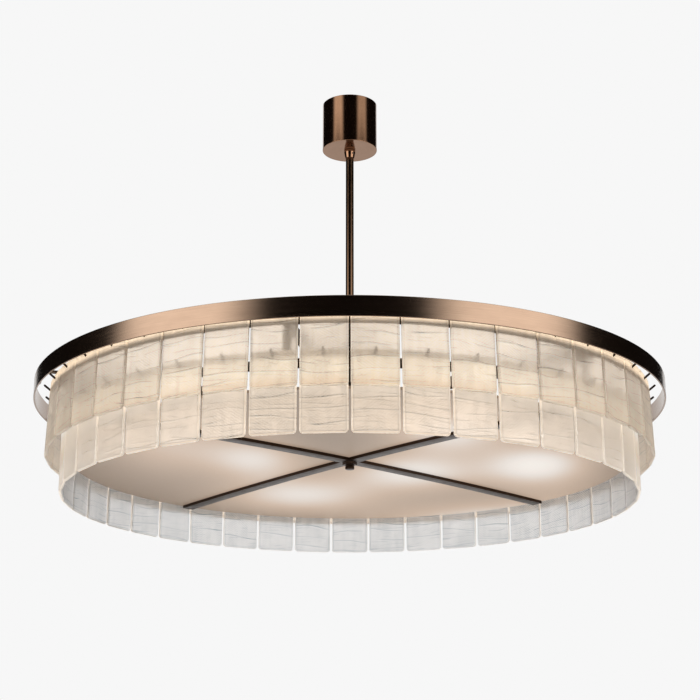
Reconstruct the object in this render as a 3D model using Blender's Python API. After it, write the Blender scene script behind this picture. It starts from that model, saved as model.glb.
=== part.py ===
"""A round pendant chandelier: a bronze band and two tiers of cast glass tiles, hung on pins round a wheel
of arms, with lamps inside and an opal diffuser disc below them. Metres, +Z up. The origin lies on the
ceiling, over the stem, so every height below it is negative."""

import math
from collections import namedtuple

import bmesh
import bpy
from mathutils import Matrix, Vector

for old_object in list(bpy.data.objects):
    bpy.data.objects.remove(old_object)

# Shared clearances
SEAT_GAP = 0.0003
BOLT_CLEARANCE = 0.0003
CUT_OVERRUN = 0.002
WELD_DEPTH = 0.0008

# Ceiling plate with its two ears, and the bolt through them
PLATE_RADIUS = 0.046
PLATE_THICKNESS = 0.003
PLATE_SCREW_HOLE_RADIUS = 0.0028
PLATE_SCREW_CIRCLE_RADIUS = 0.037
CABLE_HOLE_RADIUS = 0.007
CABLE_HOLE_OFFSET = 0.028
PIVOT_DROP = 0.030
EAR_THICKNESS = 0.003
EAR_WIDTH = 0.021
BOLT_RADIUS = 0.003
BOLT_HEAD_RADIUS = 0.0055
BOLT_HEAD_THICKNESS = 0.004
BOLT_TAIL = 0.0015
TERMINAL_OFFSET = 0.031
TERMINAL_DEPTH = 0.012
TERMINAL_LENGTH = 0.034
TERMINAL_HEIGHT = 0.014
TERMINAL_BORE_RADIUS = 0.0022
TERMINAL_WAYS = 3

# Eye on top of the stem
EYE_LUG_THICKNESS = 0.010
EYE_LUG_RADIUS = 0.009
EYE_LUG_CLEARANCE = 0.0005
EYE_BODY_RADIUS = 0.0105
EYE_BODY_LENGTH = 0.0275
EYE_NECK = 0.0125
EYE_WINDOW_WIDTH = 0.012
EYE_WINDOW_HEIGHT = 0.010

# Stem
STEM_RADIUS = 0.008
STEM_WALL = 0.002
STEM_ENGAGEMENT = 0.014
STEM_TAIL = 0.014
STEM_NUT_RADIUS = 0.0135
STEM_NUT_THICKNESS = 0.008

# Canopy cup, the collar under it and the collar's screw
CANOPY_GAP = 0.003
CANOPY_HEIGHT = 0.0995
CANOPY_RADIUS = 0.055
CANOPY_WALL = 0.0015
CANOPY_EDGE_RADIUS = 0.0012
CANOPY_HOLE_RADIUS = 0.0095
COLLAR_HEIGHT = 0.0165
COLLAR_TOP_RADIUS = 0.0113
COLLAR_FOOT_RADIUS = 0.009
COLLAR_RIM_HEIGHT = 0.004
COLLAR_SCREW_RADIUS = 0.0014
COLLAR_SCREW_PROUD = 0.0009
COLLAR_SCREW_TURN = math.radians(-57)

# Hub
HUB_DROP = 0.540
HUB_RADIUS = 0.045
HUB_WALL = 0.002
HUB_EDGE_RADIUS = 0.001
HUB_SKIRT = 0.003
COVER_THICKNESS = 0.002

# Wheel of arms
WHEEL_DROP = 0.626
ARM_COUNT = 6
ARM_PHASE = math.radians(-101)
ARM_HEIGHT = 0.023
ARM_THICKNESS = 0.006

# The band, and the rails, pins and glass tiles inside it
BAND_RADIUS = 0.600
BAND_THICKNESS = 0.003
BAND_HEIGHT = 0.035
BAND_RISE = 0.008
BAND_TO_UPPER_TIER = 0.0283
UPPER_TO_LOWER_TIER = 0.0281
TIER_ARCS = 3
UPPER_TILE_HEIGHT = 0.129
LOWER_TILE_HEIGHT = 0.139
UPPER_TILE_LEAN = math.radians(1.9)
LOWER_TILE_LEAN = 0
UPPER_TILE_DROP = 0.004
TIER_STEP = 0.059
TILE_WIDTH = 0.0785
LEAST_TILE_GAP = 0.0032
TILE_THICKNESS = 0.007
TILE_EDGE_ROUNDING = 0.0016
TILE_TOP_CORNER_RADIUS = 0.009
TILE_FOOT_CORNER_RADIUS = 0.0068
TILE_HOLE_DROP = 0.0127
TILE_BACK_GAP = 0.002
RAIL_THICKNESS = 0.003
UPPER_RAIL_HEIGHT = 0.026
LOWER_RAIL_HEIGHT = 0.0165
LOWER_RAIL_DROP = 0.012
RAIL_JOINT_GAP = 0.0006
PIN_RADIUS = 0.002
PIN_RISE = math.radians(38)
PIN_REACH = 0.0195

# Struts down to the lower rail, and brackets out to the band
STRUT_WIDTH = 0.014
STRUT_THICKNESS = 0.003
STRUT_FOOT_LENGTH = 0.026
BRACKET_WIDTH = 0.014
BRACKET_THICKNESS = 0.003
BRACKET_ARM_LAP = 0.022
BRACKET_TAB_MARGIN = 0.005

# Lamp holders and bulbs
LAMP_START_RADIUS = 0.235
LAMP_DROP = 0.027
LAMP_STRIP_WIDTH = 0.018
LAMP_STRIP_THICKNESS = 0.002
LAMP_FOOT_LENGTH = 0.028
LAMP_LEG_MARGIN = 0.004
HOLDER_RADIUS = 0.013
HOLDER_LENGTH = 0.034
HOLDER_LIP_RADIUS = 0.0148
HOLDER_LIP_LENGTH = 0.008
BULB_CAP_RADIUS = 0.0068
BULB_CAP_LENGTH = 0.021
BULB_CAP_CLEARANCE = 0.0006
BULB_NECK_RADIUS = 0.0095
BULB_GLOBE_RADIUS = 0.0225
BULB_LENGTH = 0.080

# Centre rod, diffuser disc, cross and finial
ROD_RADIUS = 0.005
ROD_HEAD_RADIUS = 0.009
ROD_HEAD_THICKNESS = 0.006
ROD_NUT_RADIUS = 0.0095
ROD_NUT_THICKNESS = 0.006
ROD_CLEARANCE = 0.0010
DIFFUSER_DROP = 0.7465
DISC_THICKNESS = 0.005
DISC_EDGE_GAP = 0.003
DISC_EDGE_CHAMFER = 0.001
CROSS_TURN = math.radians(41.2)
CROSS_END_MARGIN = 0.0066
CROSS_BAR_WIDTH = 0.025
CROSS_BAR_THICKNESS = 0.006
CROSS_BOSS_RADIUS = 0.014
CROSS_BOSS_THICKNESS = 0.011
FINIAL_RADIUS = 0.0088
FINIAL_HEIGHT = 0.0085
FINIAL_FLOOR = 0.002
FINIAL_EDGE = 0.001

# Numbers of flats on round pieces
BAND_STEPS = 80
DISC_STEPS = 64
CANOPY_STEPS = 32
HUB_STEPS = 20
SMALL_STEPS = 16
LAMP_STEPS = 8
BORE_STEPS = 12
HEX_STEPS = 6
TOP_CORNER_STEPS = 1
FOOT_CORNER_STEPS = 2
GLOBE_STEPS = 4

FRONT = math.radians(-90)

# Heights that follow from the sizes above
canopy_top = -CANOPY_GAP
canopy_foot = canopy_top - CANOPY_HEIGHT
collar_top = canopy_foot - SEAT_GAP
collar_foot = collar_top - COLLAR_HEIGHT
pivot_height = -PIVOT_DROP
eye_body_top = pivot_height - EYE_NECK
eye_foot = eye_body_top - EYE_BODY_LENGTH
stem_top = eye_foot + STEM_ENGAGEMENT
hub_top = -HUB_DROP
hub_ceiling = hub_top - HUB_WALL
stem_foot = hub_ceiling - STEM_TAIL
arm_top = -WHEEL_DROP
arm_foot = arm_top - ARM_HEIGHT
hub_foot = arm_foot - HUB_SKIRT
cover_top = hub_foot - SEAT_GAP
cover_foot = cover_top - COVER_THICKNESS
band_top = arm_top + BAND_RISE
band_foot = band_top - BAND_HEIGHT
bracket_foot = arm_top + SEAT_GAP
bracket_top = bracket_foot + BRACKET_THICKNESS
upper_tile_top = arm_top - UPPER_TILE_DROP
lower_tile_top = upper_tile_top - TIER_STEP
disc_top = -DIFFUSER_DROP
disc_foot = disc_top - DISC_THICKNESS
cross_top = disc_foot - SEAT_GAP
boss_foot = cross_top - CROSS_BOSS_THICKNESS
finial_top = boss_foot - SEAT_GAP
finial_foot = finial_top - FINIAL_HEIGHT
rod_foot = finial_foot + FINIAL_FLOOR + SEAT_GAP
lamp_height = arm_foot - LAMP_DROP



def tiles_round(tier_radius):
    """As many tiles as fit side by side, with their outer faces at this distance from the stem."""
    half_seat = math.atan((TILE_WIDTH + LEAST_TILE_GAP) / 2 / tier_radius)
    return int(math.pi / half_seat)


# What one tier of tiles is made from
Tier = namedtuple("Tier", "tiles tile_radius tile_height lean tile_top rail_top rail_height")
upper_tier_radius = BAND_RADIUS - BAND_TO_UPPER_TIER
lower_tier_radius = upper_tier_radius - UPPER_TO_LOWER_TIER
UPPER_TIER = Tier(tiles_round(upper_tier_radius), upper_tier_radius, UPPER_TILE_HEIGHT, UPPER_TILE_LEAN,
                  upper_tile_top, arm_top, UPPER_RAIL_HEIGHT)
LOWER_TIER = Tier(tiles_round(lower_tier_radius), lower_tier_radius, LOWER_TILE_HEIGHT, LOWER_TILE_LEAN,
                  lower_tile_top, lower_tile_top - LOWER_RAIL_DROP, LOWER_RAIL_HEIGHT)


def linear_colour(code):
    """A six-digit sRGB hex code as linear red, green, blue and alpha."""
    channels = [int(code[start:start + 2], 16) / 255 for start in (0, 2, 4)]
    return [c / 12.92 if c <= 0.04045 else ((c + 0.055) / 1.055) ** 2.4 for c in channels] + [1]


def make_material(name, colour, roughness, metallic, transmission=0, glow=0):
    """A Principled material; a glow above zero also gives off its own colour."""
    material = bpy.data.materials.new(name)
    material.use_nodes = True
    shader = material.node_tree.nodes["Principled BSDF"]
    shader.inputs["Base Color"].default_value = linear_colour(colour)
    shader.inputs["Roughness"].default_value = roughness
    shader.inputs["Metallic"].default_value = metallic
    shader.inputs["Transmission Weight"].default_value = transmission
    shader.inputs["Emission Color"].default_value = linear_colour(colour)
    shader.inputs["Emission Strength"].default_value = glow
    material.diffuse_color = linear_colour(colour)
    return material


BRONZE = make_material("brushed_bronze", "6B543F", 0.34, 1)
DARK_BRONZE = make_material("dark_bronze", "33291F", 0.42, 1)
GLASS = make_material("cast_glass", "E9DECB", 0.25, 0, transmission=0.6)
STEEL = make_material("zinc_steel", "A9ABAD", 0.38, 1)
OPAL = make_material("opal_diffuser", "EFE3CF", 0.45, 0, transmission=0.2)
BULB = make_material("frosted_bulb", "FFF3DC", 0.35, 0, glow=1)
PORCELAIN = make_material("porcelain", "E8E4DA", 0.30, 0)


def place(name, bm, materials, parent=None, matrix=None):
    """Turn a bmesh into a named, smooth-shaded object; world matrix as given, kept under the parent."""
    bmesh.ops.recalc_face_normals(bm, faces=bm.faces)
    mesh = bpy.data.meshes.new(name)
    bm.to_mesh(mesh)
    bm.free()
    for material in materials:
        mesh.materials.append(material)
    mesh.shade_smooth()
    mesh.set_sharp_from_angle(angle=math.radians(30))
    piece = bpy.data.objects.new(name, mesh)
    bpy.context.scene.collection.objects.link(piece)
    world = matrix or Matrix.Identity(4)
    if parent:
        piece.parent = parent
        piece.location = world.translation - parent.matrix_world.translation
        piece.rotation_euler = world.to_euler()
    else:
        piece.matrix_world = world
    return piece


def make_axis(name, location, parent=None):
    """An empty on a joint's axis, under which the moving pieces hang."""
    empty = bpy.data.objects.new(name, None)
    bpy.context.scene.collection.objects.link(empty)
    base = parent.matrix_world.translation if parent else Vector()
    empty.parent = parent
    empty.location = Vector(location) - base
    bpy.context.view_layer.update()
    return empty


def combine(target, tools, operation):
    """Cut or fuse closed tools into the target, and leave one plain mesh."""
    for tool in tools:
        tool.hide_render = True
        tool.display_type = "WIRE"
        step = target.modifiers.new(tool.name, "BOOLEAN")
        step.operation = operation
        step.solver = "EXACT"
        step.object = tool
    bpy.context.view_layer.update()
    depsgraph = bpy.context.evaluated_depsgraph_get()
    result = bpy.data.meshes.new_from_object(target.evaluated_get(depsgraph))
    target.modifiers.clear()
    old_mesh = target.data
    target.data = result
    bpy.data.meshes.remove(old_mesh)
    result.name = target.name
    for tool in tools:
        bpy.data.objects.remove(tool)
    return target


def turned(profile, steps, capped=False):
    """Points (radius, height) turned about Z. The last joins the first, or each end gets a flat cap."""
    bm = bmesh.new()
    rings = []
    for radius, height in profile:
        if radius == 0:
            rings.append([bm.verts.new((0, 0, height))] * steps)
            continue
        angles = [2 * math.pi * step / steps for step in range(steps)]
        rings.append([bm.verts.new((radius * math.cos(a), radius * math.sin(a), height)) for a in angles])
    closing = [] if capped else rings[:1]
    for ring, following in zip(rings, rings[1:] + closing):
        for step in range(steps):
            after = (step + 1) % steps
            corners = list(dict.fromkeys((ring[step], ring[after], following[after], following[step])))
            bm.faces.new(corners)
    for ring in (rings[0], rings[-1]) if capped else ():
        if ring[0] is not ring[1]:
            bm.faces.new(ring)
    return bm


def add_prism(bm, loops, material_index=0):
    """Skin a stack of equal loops of points and cap both ends."""
    rings = [[bm.verts.new(point) for point in loop] for loop in loops]
    faces = [bm.faces.new(list(reversed(rings[0]))), bm.faces.new(rings[-1])]
    for ring, following in zip(rings, rings[1:]):
        for index in range(len(ring)):
            after = (index + 1) % len(ring)
            faces.append(bm.faces.new((ring[index], ring[after], following[after], following[index])))
    for face in faces:
        face.material_index = material_index


def strip(outline, width, middle=0):
    """An (x, z) outline given width along Y."""
    bm = bmesh.new()
    low = middle - width / 2
    high = middle + width / 2
    add_prism(bm, [[(x, low, z) for x, z in outline], [(x, high, z) for x, z in outline]])
    return bm


def rod(start, end, radius, steps):
    """A straight rod of so many flats between two points."""
    bm = bmesh.new()
    add_rod(bm, start, end, radius, steps)
    return bm


def add_rod(bm, start, end, radius, steps, material_index=0):
    start, end = Vector(start), Vector(end)
    turn = (end - start).to_track_quat("Z", "Y")
    flats = [2 * math.pi * (step + 0.5) / steps for step in range(steps)]
    rim = [turn @ Vector((radius * math.cos(a), radius * math.sin(a), 0)) for a in flats]
    add_prism(bm, [[start + point for point in rim], [end + point for point in rim]], material_index)


def cutter(bm, matrix=None):
    return place("cutter", bm, [], matrix=matrix)


def outward(angle, height=0):
    """The frame whose +X points out from the stem at this angle."""
    return Matrix.Translation((0, 0, height)) @ Matrix.Rotation(angle, 4, "Z")


def pitch(tier):
    return 2 * math.pi / tier.tiles


def hole_place(tier):
    """Radius and height of the middle of a tile's hole, on the tile's middle plane."""
    above_middle = tier.tile_height / 2 - TILE_HOLE_DROP
    middle_radius = tier.tile_radius - TILE_THICKNESS / 2
    return middle_radius - above_middle * math.sin(tier.lean), tier.tile_top - TILE_HOLE_DROP


def rail_outer(tier):
    """Distance from the stem to a rail's outer flats."""
    return hole_place(tier)[0] - TILE_THICKNESS / 2 - TILE_BACK_GAP


def rail_inner(tier):
    return rail_outer(tier) - RAIL_THICKNESS


def reach_inside_rail(tier, angle, width):
    """How far out a flat end of this width comes before it touches the rail's inner flats."""
    seats = []
    for tile in range(tier.tiles):
        turn = (angle - FRONT - (tile + 0.5) * pitch(tier) + math.pi) % (2 * math.pi) - math.pi
        if abs(turn) < pitch(tier):
            seats.append((rail_inner(tier) - abs(math.sin(turn)) * width / 2) / math.cos(turn))
    return min(seats) - SEAT_GAP


def tile_outline(height, inset):
    """A tile's (y, z) outline about its hole, drawn in by the inset."""
    half = TILE_WIDTH / 2
    top = TILE_HOLE_DROP
    foot = TILE_HOLE_DROP - height
    top_y, foot_y = half - TILE_TOP_CORNER_RADIUS, half - TILE_FOOT_CORNER_RADIUS
    top_z, foot_z = top - TILE_TOP_CORNER_RADIUS, foot + TILE_FOOT_CORNER_RADIUS
    corners = [
        (top_y, top_z, TILE_TOP_CORNER_RADIUS, TOP_CORNER_STEPS),
        (-top_y, top_z, TILE_TOP_CORNER_RADIUS, TOP_CORNER_STEPS),
        (-foot_y, foot_z, TILE_FOOT_CORNER_RADIUS, FOOT_CORNER_STEPS),
        (foot_y, foot_z, TILE_FOOT_CORNER_RADIUS, FOOT_CORNER_STEPS),
    ]
    points = []
    for quarter, (y, z, radius, steps) in enumerate(corners):
        for step in range(steps + 1):
            angle = math.pi / 2 * (quarter + step / steps)
            points.append((y + (radius - inset) * math.cos(angle), z + (radius - inset) * math.sin(angle)))
    return points


def add_tile(bm, tier, matrix):
    """One cast tile with a rounded rim, as three loops through its thickness."""
    half = TILE_THICKNESS / 2
    loops = []
    for depth, inset in ((-half, TILE_EDGE_ROUNDING), (0, 0), (half, TILE_EDGE_ROUNDING)):
        outline = tile_outline(tier.tile_height, inset)
        loops.append([matrix @ Vector((depth, y, z)) for y, z in outline])
    add_prism(bm, loops, material_index=1)


def make_tier_arc(name, tier, first, count, parent):
    """An arc of flat rail with its pins and the tiles that hang on them, fused into one piece."""
    start = FRONT + first * pitch(tier)
    joint = RAIL_JOINT_GAP / 2 / rail_outer(tier)
    rail = bmesh.new()
    turns = [start + joint] + [start + tile * pitch(tier) for tile in range(1, count)]
    turns.append(start + count * pitch(tier) - joint)
    foot = tier.rail_top - tier.rail_height
    sections = []
    for index, angle in enumerate(turns):
        off_middle = pitch(tier) / 2 - (joint if index in (0, count) else 0)
        inner, outer = rail_inner(tier) / math.cos(off_middle), rail_outer(tier) / math.cos(off_middle)
        section = [(inner, foot), (outer, foot), (outer, tier.rail_top), (inner, tier.rail_top)]
        sections.append([(r * math.cos(angle), r * math.sin(angle), z) for r, z in section])
    add_prism(rail, sections)
    pins, tiles = bmesh.new(), bmesh.new()
    hole_radius, hole_height = hole_place(tier)
    direction = Vector((math.cos(PIN_RISE), 0, math.sin(PIN_RISE)))
    root = (hole_radius - rail_outer(tier) + RAIL_THICKNESS / 2) / math.cos(PIN_RISE)
    for tile in range(count):
        station = outward(start + (tile + 0.5) * pitch(tier))
        hole = Vector((hole_radius, 0, hole_height))
        add_rod(pins, station @ (hole - direction * root), station @ (hole + direction * PIN_REACH),
                PIN_RADIUS, HEX_STEPS)
        lean = Matrix.Rotation(-tier.lean, 4, "Y")
        add_tile(tiles, tier, station @ Matrix.Translation(hole) @ lean)
    finishes = [DARK_BRONZE, GLASS]
    arc = place(name, rail, finishes, parent)
    tools = [place("pins", pins, finishes), place("tiles", tiles, finishes)]
    return combine(arc, tools, "UNION")


def make_tier(name, tier, parent):
    """All arcs of a tier. The joints between arcs lie about midway between two arms."""
    first = round((ARM_PHASE - math.pi / ARM_COUNT - FRONT) / pitch(tier))
    for arc in range(TIER_ARCS):
        count = tier.tiles // TIER_ARCS + (arc < tier.tiles % TIER_ARCS)
        make_tier_arc(f"{name}_{arc + 1}", tier, first, count, parent)
        first += count


def make_nut(name, height_top, thickness, radius, bore_radius, material, parent):
    """A hexagon nut on the stem's line."""
    foot = height_top - thickness
    nut = place(name, rod((0, 0, foot), (0, 0, height_top), radius, HEX_STEPS), [material], parent)
    bore = rod((0, 0, foot - CUT_OVERRUN), (0, 0, height_top + CUT_OVERRUN), bore_radius, BORE_STEPS)
    return combine(nut, [cutter(bore)], "DIFFERENCE")


def make_ceiling_plate():
    """A round plate with two ears welded under it, drilled for two screws and the cable."""
    plate = turned([(PLATE_RADIUS, -PLATE_THICKNESS), (PLATE_RADIUS, 0)], CANOPY_STEPS, capped=True)
    piece = place("ceiling_plate", plate, [STEEL])
    half = EAR_WIDTH / 2
    lowest = [math.pi + math.pi * step / HEX_STEPS for step in range(HEX_STEPS + 1)]
    outline = [(half * math.cos(a), pivot_height + half * math.sin(a)) for a in lowest]
    weld_top = -PLATE_THICKNESS + WELD_DEPTH
    outline += [(half, weld_top), (-half, weld_top)]
    ears = [place("ear", strip(outline, EAR_THICKNESS, side * ear_middle()), []) for side in (-1, 1)]
    combine(piece, ears, "UNION")
    cuts = [cutter(rod((0, -PLATE_RADIUS, pivot_height), (0, PLATE_RADIUS, pivot_height),
                       BOLT_RADIUS + BOLT_CLEARANCE, BORE_STEPS))]
    holes = [(0, PLATE_SCREW_CIRCLE_RADIUS, PLATE_SCREW_HOLE_RADIUS),
             (0, -PLATE_SCREW_CIRCLE_RADIUS, PLATE_SCREW_HOLE_RADIUS),
             (-CABLE_HOLE_OFFSET, 0, CABLE_HOLE_RADIUS)]
    for x, y, radius in holes:
        below, above = (x, y, -PLATE_THICKNESS - CUT_OVERRUN), (x, y, CUT_OVERRUN)
        cuts.append(cutter(rod(below, above, radius, BORE_STEPS)))
    return combine(piece, cuts, "DIFFERENCE")


def ear_middle():
    """Distance from the stem's line to the middle of an ear."""
    return EYE_LUG_THICKNESS / 2 + EYE_LUG_CLEARANCE + EAR_THICKNESS / 2


def make_hanger_bolt():
    """The bolt through both ears and the eye, and its nut."""
    seat = ear_middle() + EAR_THICKNESS / 2 + SEAT_GAP
    tip = seat + BOLT_HEAD_THICKNESS + BOLT_TAIL
    shank = place("hanger_bolt", rod((0, -seat - WELD_DEPTH, pivot_height), (0, tip, pivot_height),
                                     BOLT_RADIUS, BORE_STEPS), [STEEL])
    head = rod((0, -seat - BOLT_HEAD_THICKNESS, pivot_height), (0, -seat, pivot_height),
               BOLT_HEAD_RADIUS, HEX_STEPS)
    combine(shank, [cutter(head)], "UNION")
    nut = place("hanger_nut", rod((0, seat, pivot_height), (0, seat + BOLT_HEAD_THICKNESS, pivot_height),
                                  BOLT_HEAD_RADIUS, HEX_STEPS), [STEEL])
    bore = rod((0, seat - CUT_OVERRUN, pivot_height), (0, tip + CUT_OVERRUN, pivot_height),
               BOLT_RADIUS + BOLT_CLEARANCE, BORE_STEPS)
    combine(nut, [cutter(bore)], "DIFFERENCE")


def make_terminal_block():
    """A connector block under the plate, with a bore for each wire."""
    top = -PLATE_THICKNESS - SEAT_GAP
    outline = [(TERMINAL_OFFSET - TERMINAL_DEPTH / 2, top - TERMINAL_HEIGHT),
               (TERMINAL_OFFSET + TERMINAL_DEPTH / 2, top - TERMINAL_HEIGHT),
               (TERMINAL_OFFSET + TERMINAL_DEPTH / 2, top),
               (TERMINAL_OFFSET - TERMINAL_DEPTH / 2, top)]
    block = place("terminal_block", strip(outline, TERMINAL_LENGTH), [PORCELAIN])
    cuts = []
    for way in range(TERMINAL_WAYS):
        y = TERMINAL_LENGTH * ((way + 0.5) / TERMINAL_WAYS - 0.5)
        start = (TERMINAL_OFFSET - TERMINAL_DEPTH, y, top - TERMINAL_HEIGHT / 2)
        end = (TERMINAL_OFFSET + TERMINAL_DEPTH, y, top - TERMINAL_HEIGHT / 2)
        cuts.append(cutter(rod(start, end, TERMINAL_BORE_RADIUS, HEX_STEPS)))
    return combine(block, cuts, "DIFFERENCE")


def make_stem_eye(parent):
    """A flat lug that hangs on the bolt, on a round body bored for the stem, with a window for the wires."""
    body = turned([(EYE_BODY_RADIUS, eye_foot), (EYE_BODY_RADIUS, eye_body_top)], SMALL_STEPS, capped=True)
    piece = place("stem_eye", body, [BRONZE], parent)
    highest = [math.pi * step / HEX_STEPS for step in range(HEX_STEPS + 1)]
    outline = [(EYE_LUG_RADIUS * math.cos(a), pivot_height + EYE_LUG_RADIUS * math.sin(a)) for a in highest]
    root = eye_body_top - WELD_DEPTH
    outline += [(-EYE_LUG_RADIUS, root), (EYE_LUG_RADIUS, root)]
    combine(piece, [cutter(strip(outline, EYE_LUG_THICKNESS))], "UNION")
    reach = EYE_BODY_RADIUS + CUT_OVERRUN
    window_top = stem_top + EYE_WINDOW_HEIGHT
    window = [(-reach, stem_top), (reach, stem_top), (reach, window_top), (-reach, window_top)]
    cuts = [
        rod((0, -EYE_LUG_THICKNESS, pivot_height), (0, EYE_LUG_THICKNESS, pivot_height),
            BOLT_RADIUS + BOLT_CLEARANCE, BORE_STEPS),
        rod((0, 0, eye_foot - CUT_OVERRUN), (0, 0, stem_top + SEAT_GAP), STEM_RADIUS + SEAT_GAP, SMALL_STEPS),
        strip(window, EYE_WINDOW_WIDTH),
    ]
    return combine(piece, [cutter(bm) for bm in cuts], "DIFFERENCE")


def make_stem(parent):
    """The stem tube, from the eye down into the hub, and the nut that holds the hub on it."""
    bore = STEM_RADIUS - STEM_WALL
    tube = turned([(bore, stem_foot), (STEM_RADIUS, stem_foot), (STEM_RADIUS, stem_top), (bore, stem_top)],
                  SMALL_STEPS)
    place("stem_tube", tube, [BRONZE], parent)
    make_nut("stem_locknut", hub_ceiling - SEAT_GAP, STEM_NUT_THICKNESS, STEM_NUT_RADIUS,
             STEM_RADIUS + SEAT_GAP, STEEL, parent)


def make_canopy(parent):
    """A cup open to the ceiling, with a hole in its floor for the stem."""
    inner = CANOPY_RADIUS - CANOPY_WALL
    profile = [(CANOPY_HOLE_RADIUS, canopy_foot),
               (CANOPY_RADIUS - CANOPY_EDGE_RADIUS, canopy_foot),
               (CANOPY_RADIUS, canopy_foot + CANOPY_EDGE_RADIUS),
               (CANOPY_RADIUS, canopy_top),
               (inner, canopy_top),
               (inner, canopy_foot + CANOPY_WALL),
               (CANOPY_HOLE_RADIUS, canopy_foot + CANOPY_WALL)]
    return place("canopy_cup", turned(profile, CANOPY_STEPS), [BRONZE], parent)


def make_collar(parent):
    """The tapered collar that holds the canopy up on the stem, and the screw that grips the stem."""
    bore = STEM_RADIUS + SEAT_GAP
    profile = [(bore, collar_foot), (COLLAR_FOOT_RADIUS, collar_foot),
               (COLLAR_TOP_RADIUS, collar_top - COLLAR_RIM_HEIGHT), (COLLAR_TOP_RADIUS, collar_top),
               (bore, collar_top)]
    collar = place("canopy_collar", turned(profile, SMALL_STEPS), [BRONZE], parent)
    height = collar_top - COLLAR_HEIGHT / 2
    turn = outward(COLLAR_SCREW_TURN, height)
    tip, end = bore, COLLAR_TOP_RADIUS + COLLAR_SCREW_PROUD
    hole = rod((0, 0, 0), (end + CUT_OVERRUN, 0, 0), COLLAR_SCREW_RADIUS + SEAT_GAP, BORE_STEPS)
    combine(collar, [cutter(hole, turn)], "DIFFERENCE")
    screw = rod((tip, 0, 0), (end, 0, 0), COLLAR_SCREW_RADIUS, HEX_STEPS)
    place("collar_screw", screw, [STEEL], parent, turn)


def make_hub(parent):
    """The drum that joins stem and arms: a cap on the stem, a wall under it and a cover that closes it."""
    hole = STEM_RADIUS + SEAT_GAP
    edge = HUB_RADIUS - HUB_EDGE_RADIUS
    cap = [(hole, hub_ceiling), (HUB_RADIUS, hub_ceiling), (HUB_RADIUS, hub_top - HUB_EDGE_RADIUS),
           (edge, hub_top), (hole, hub_top)]
    place("hub_cap", turned(cap, HUB_STEPS), [DARK_BRONZE], parent)
    wall_top = hub_ceiling - SEAT_GAP
    inner = HUB_RADIUS - HUB_WALL
    wall = [(inner, hub_foot), (HUB_RADIUS, hub_foot), (HUB_RADIUS, wall_top), (inner, wall_top)]
    place("hub_wall", turned(wall, HUB_STEPS), [DARK_BRONZE], parent)
    hole = ROD_RADIUS + SEAT_GAP
    cover = [(hole, cover_foot), (HUB_RADIUS, cover_foot), (HUB_RADIUS, cover_top), (hole, cover_top)]
    place("hub_cover", turned(cover, HUB_STEPS), [DARK_BRONZE], parent)


def make_arm(index, parent):
    """One arm of the wheel, with the strut, bracket, lamp holder and bulb that it carries."""
    angle = ARM_PHASE + 2 * math.pi * index / ARM_COUNT
    turn = outward(angle)
    number = index + 1
    end = reach_inside_rail(UPPER_TIER, angle, ARM_THICKNESS)
    start = HUB_RADIUS + SEAT_GAP
    bar = [(start, arm_foot), (end, arm_foot), (end, arm_top), (start, arm_top)]
    place(f"spider_arm_{number}", strip(bar, ARM_THICKNESS), [DARK_BRONZE], parent, turn)
    make_strut(f"drop_strut_{number}", angle, parent)
    make_bracket(f"band_bracket_{number}", end, turn, parent)
    make_lamp(number, turn, parent)


def make_strut(name, angle, parent):
    """A bent strip from under an arm down inside the lower rail."""
    outer = reach_inside_rail(LOWER_TIER, angle, STRUT_WIDTH)
    inner = outer - STRUT_THICKNESS
    foot = LOWER_TIER.rail_top - LOWER_TIER.rail_height
    top = arm_foot - SEAT_GAP
    back = outer - STRUT_FOOT_LENGTH
    outline = [(back, top), (back, top - STRUT_THICKNESS), (inner, top - STRUT_THICKNESS), (inner, foot),
               (outer, foot), (outer, top)]
    place(name, strip(outline, STRUT_WIDTH), [DARK_BRONZE], parent, outward(angle))


def make_bracket(name, arm_end, turn, parent):
    """A bent strip that lies on an arm and the rail, clears the tiles and turns down inside the band."""
    outer = (BAND_RADIUS - BAND_THICKNESS) * math.cos(math.pi / BAND_STEPS) - SEAT_GAP
    inner = outer - BRACKET_THICKNESS
    tab_foot = band_foot + BRACKET_TAB_MARGIN
    start = arm_end - BRACKET_ARM_LAP
    outline = [(start, bracket_foot), (inner, bracket_foot), (inner, tab_foot), (outer, tab_foot),
               (outer, bracket_top), (start, bracket_top)]
    corner = math.hypot(outer, BRACKET_WIDTH / 2) / outer
    outline = [(x / corner if x > inner - BRACKET_THICKNESS else x, z) for x, z in outline]
    place(name, strip(outline, BRACKET_WIDTH), [DARK_BRONZE], parent, turn)


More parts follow.
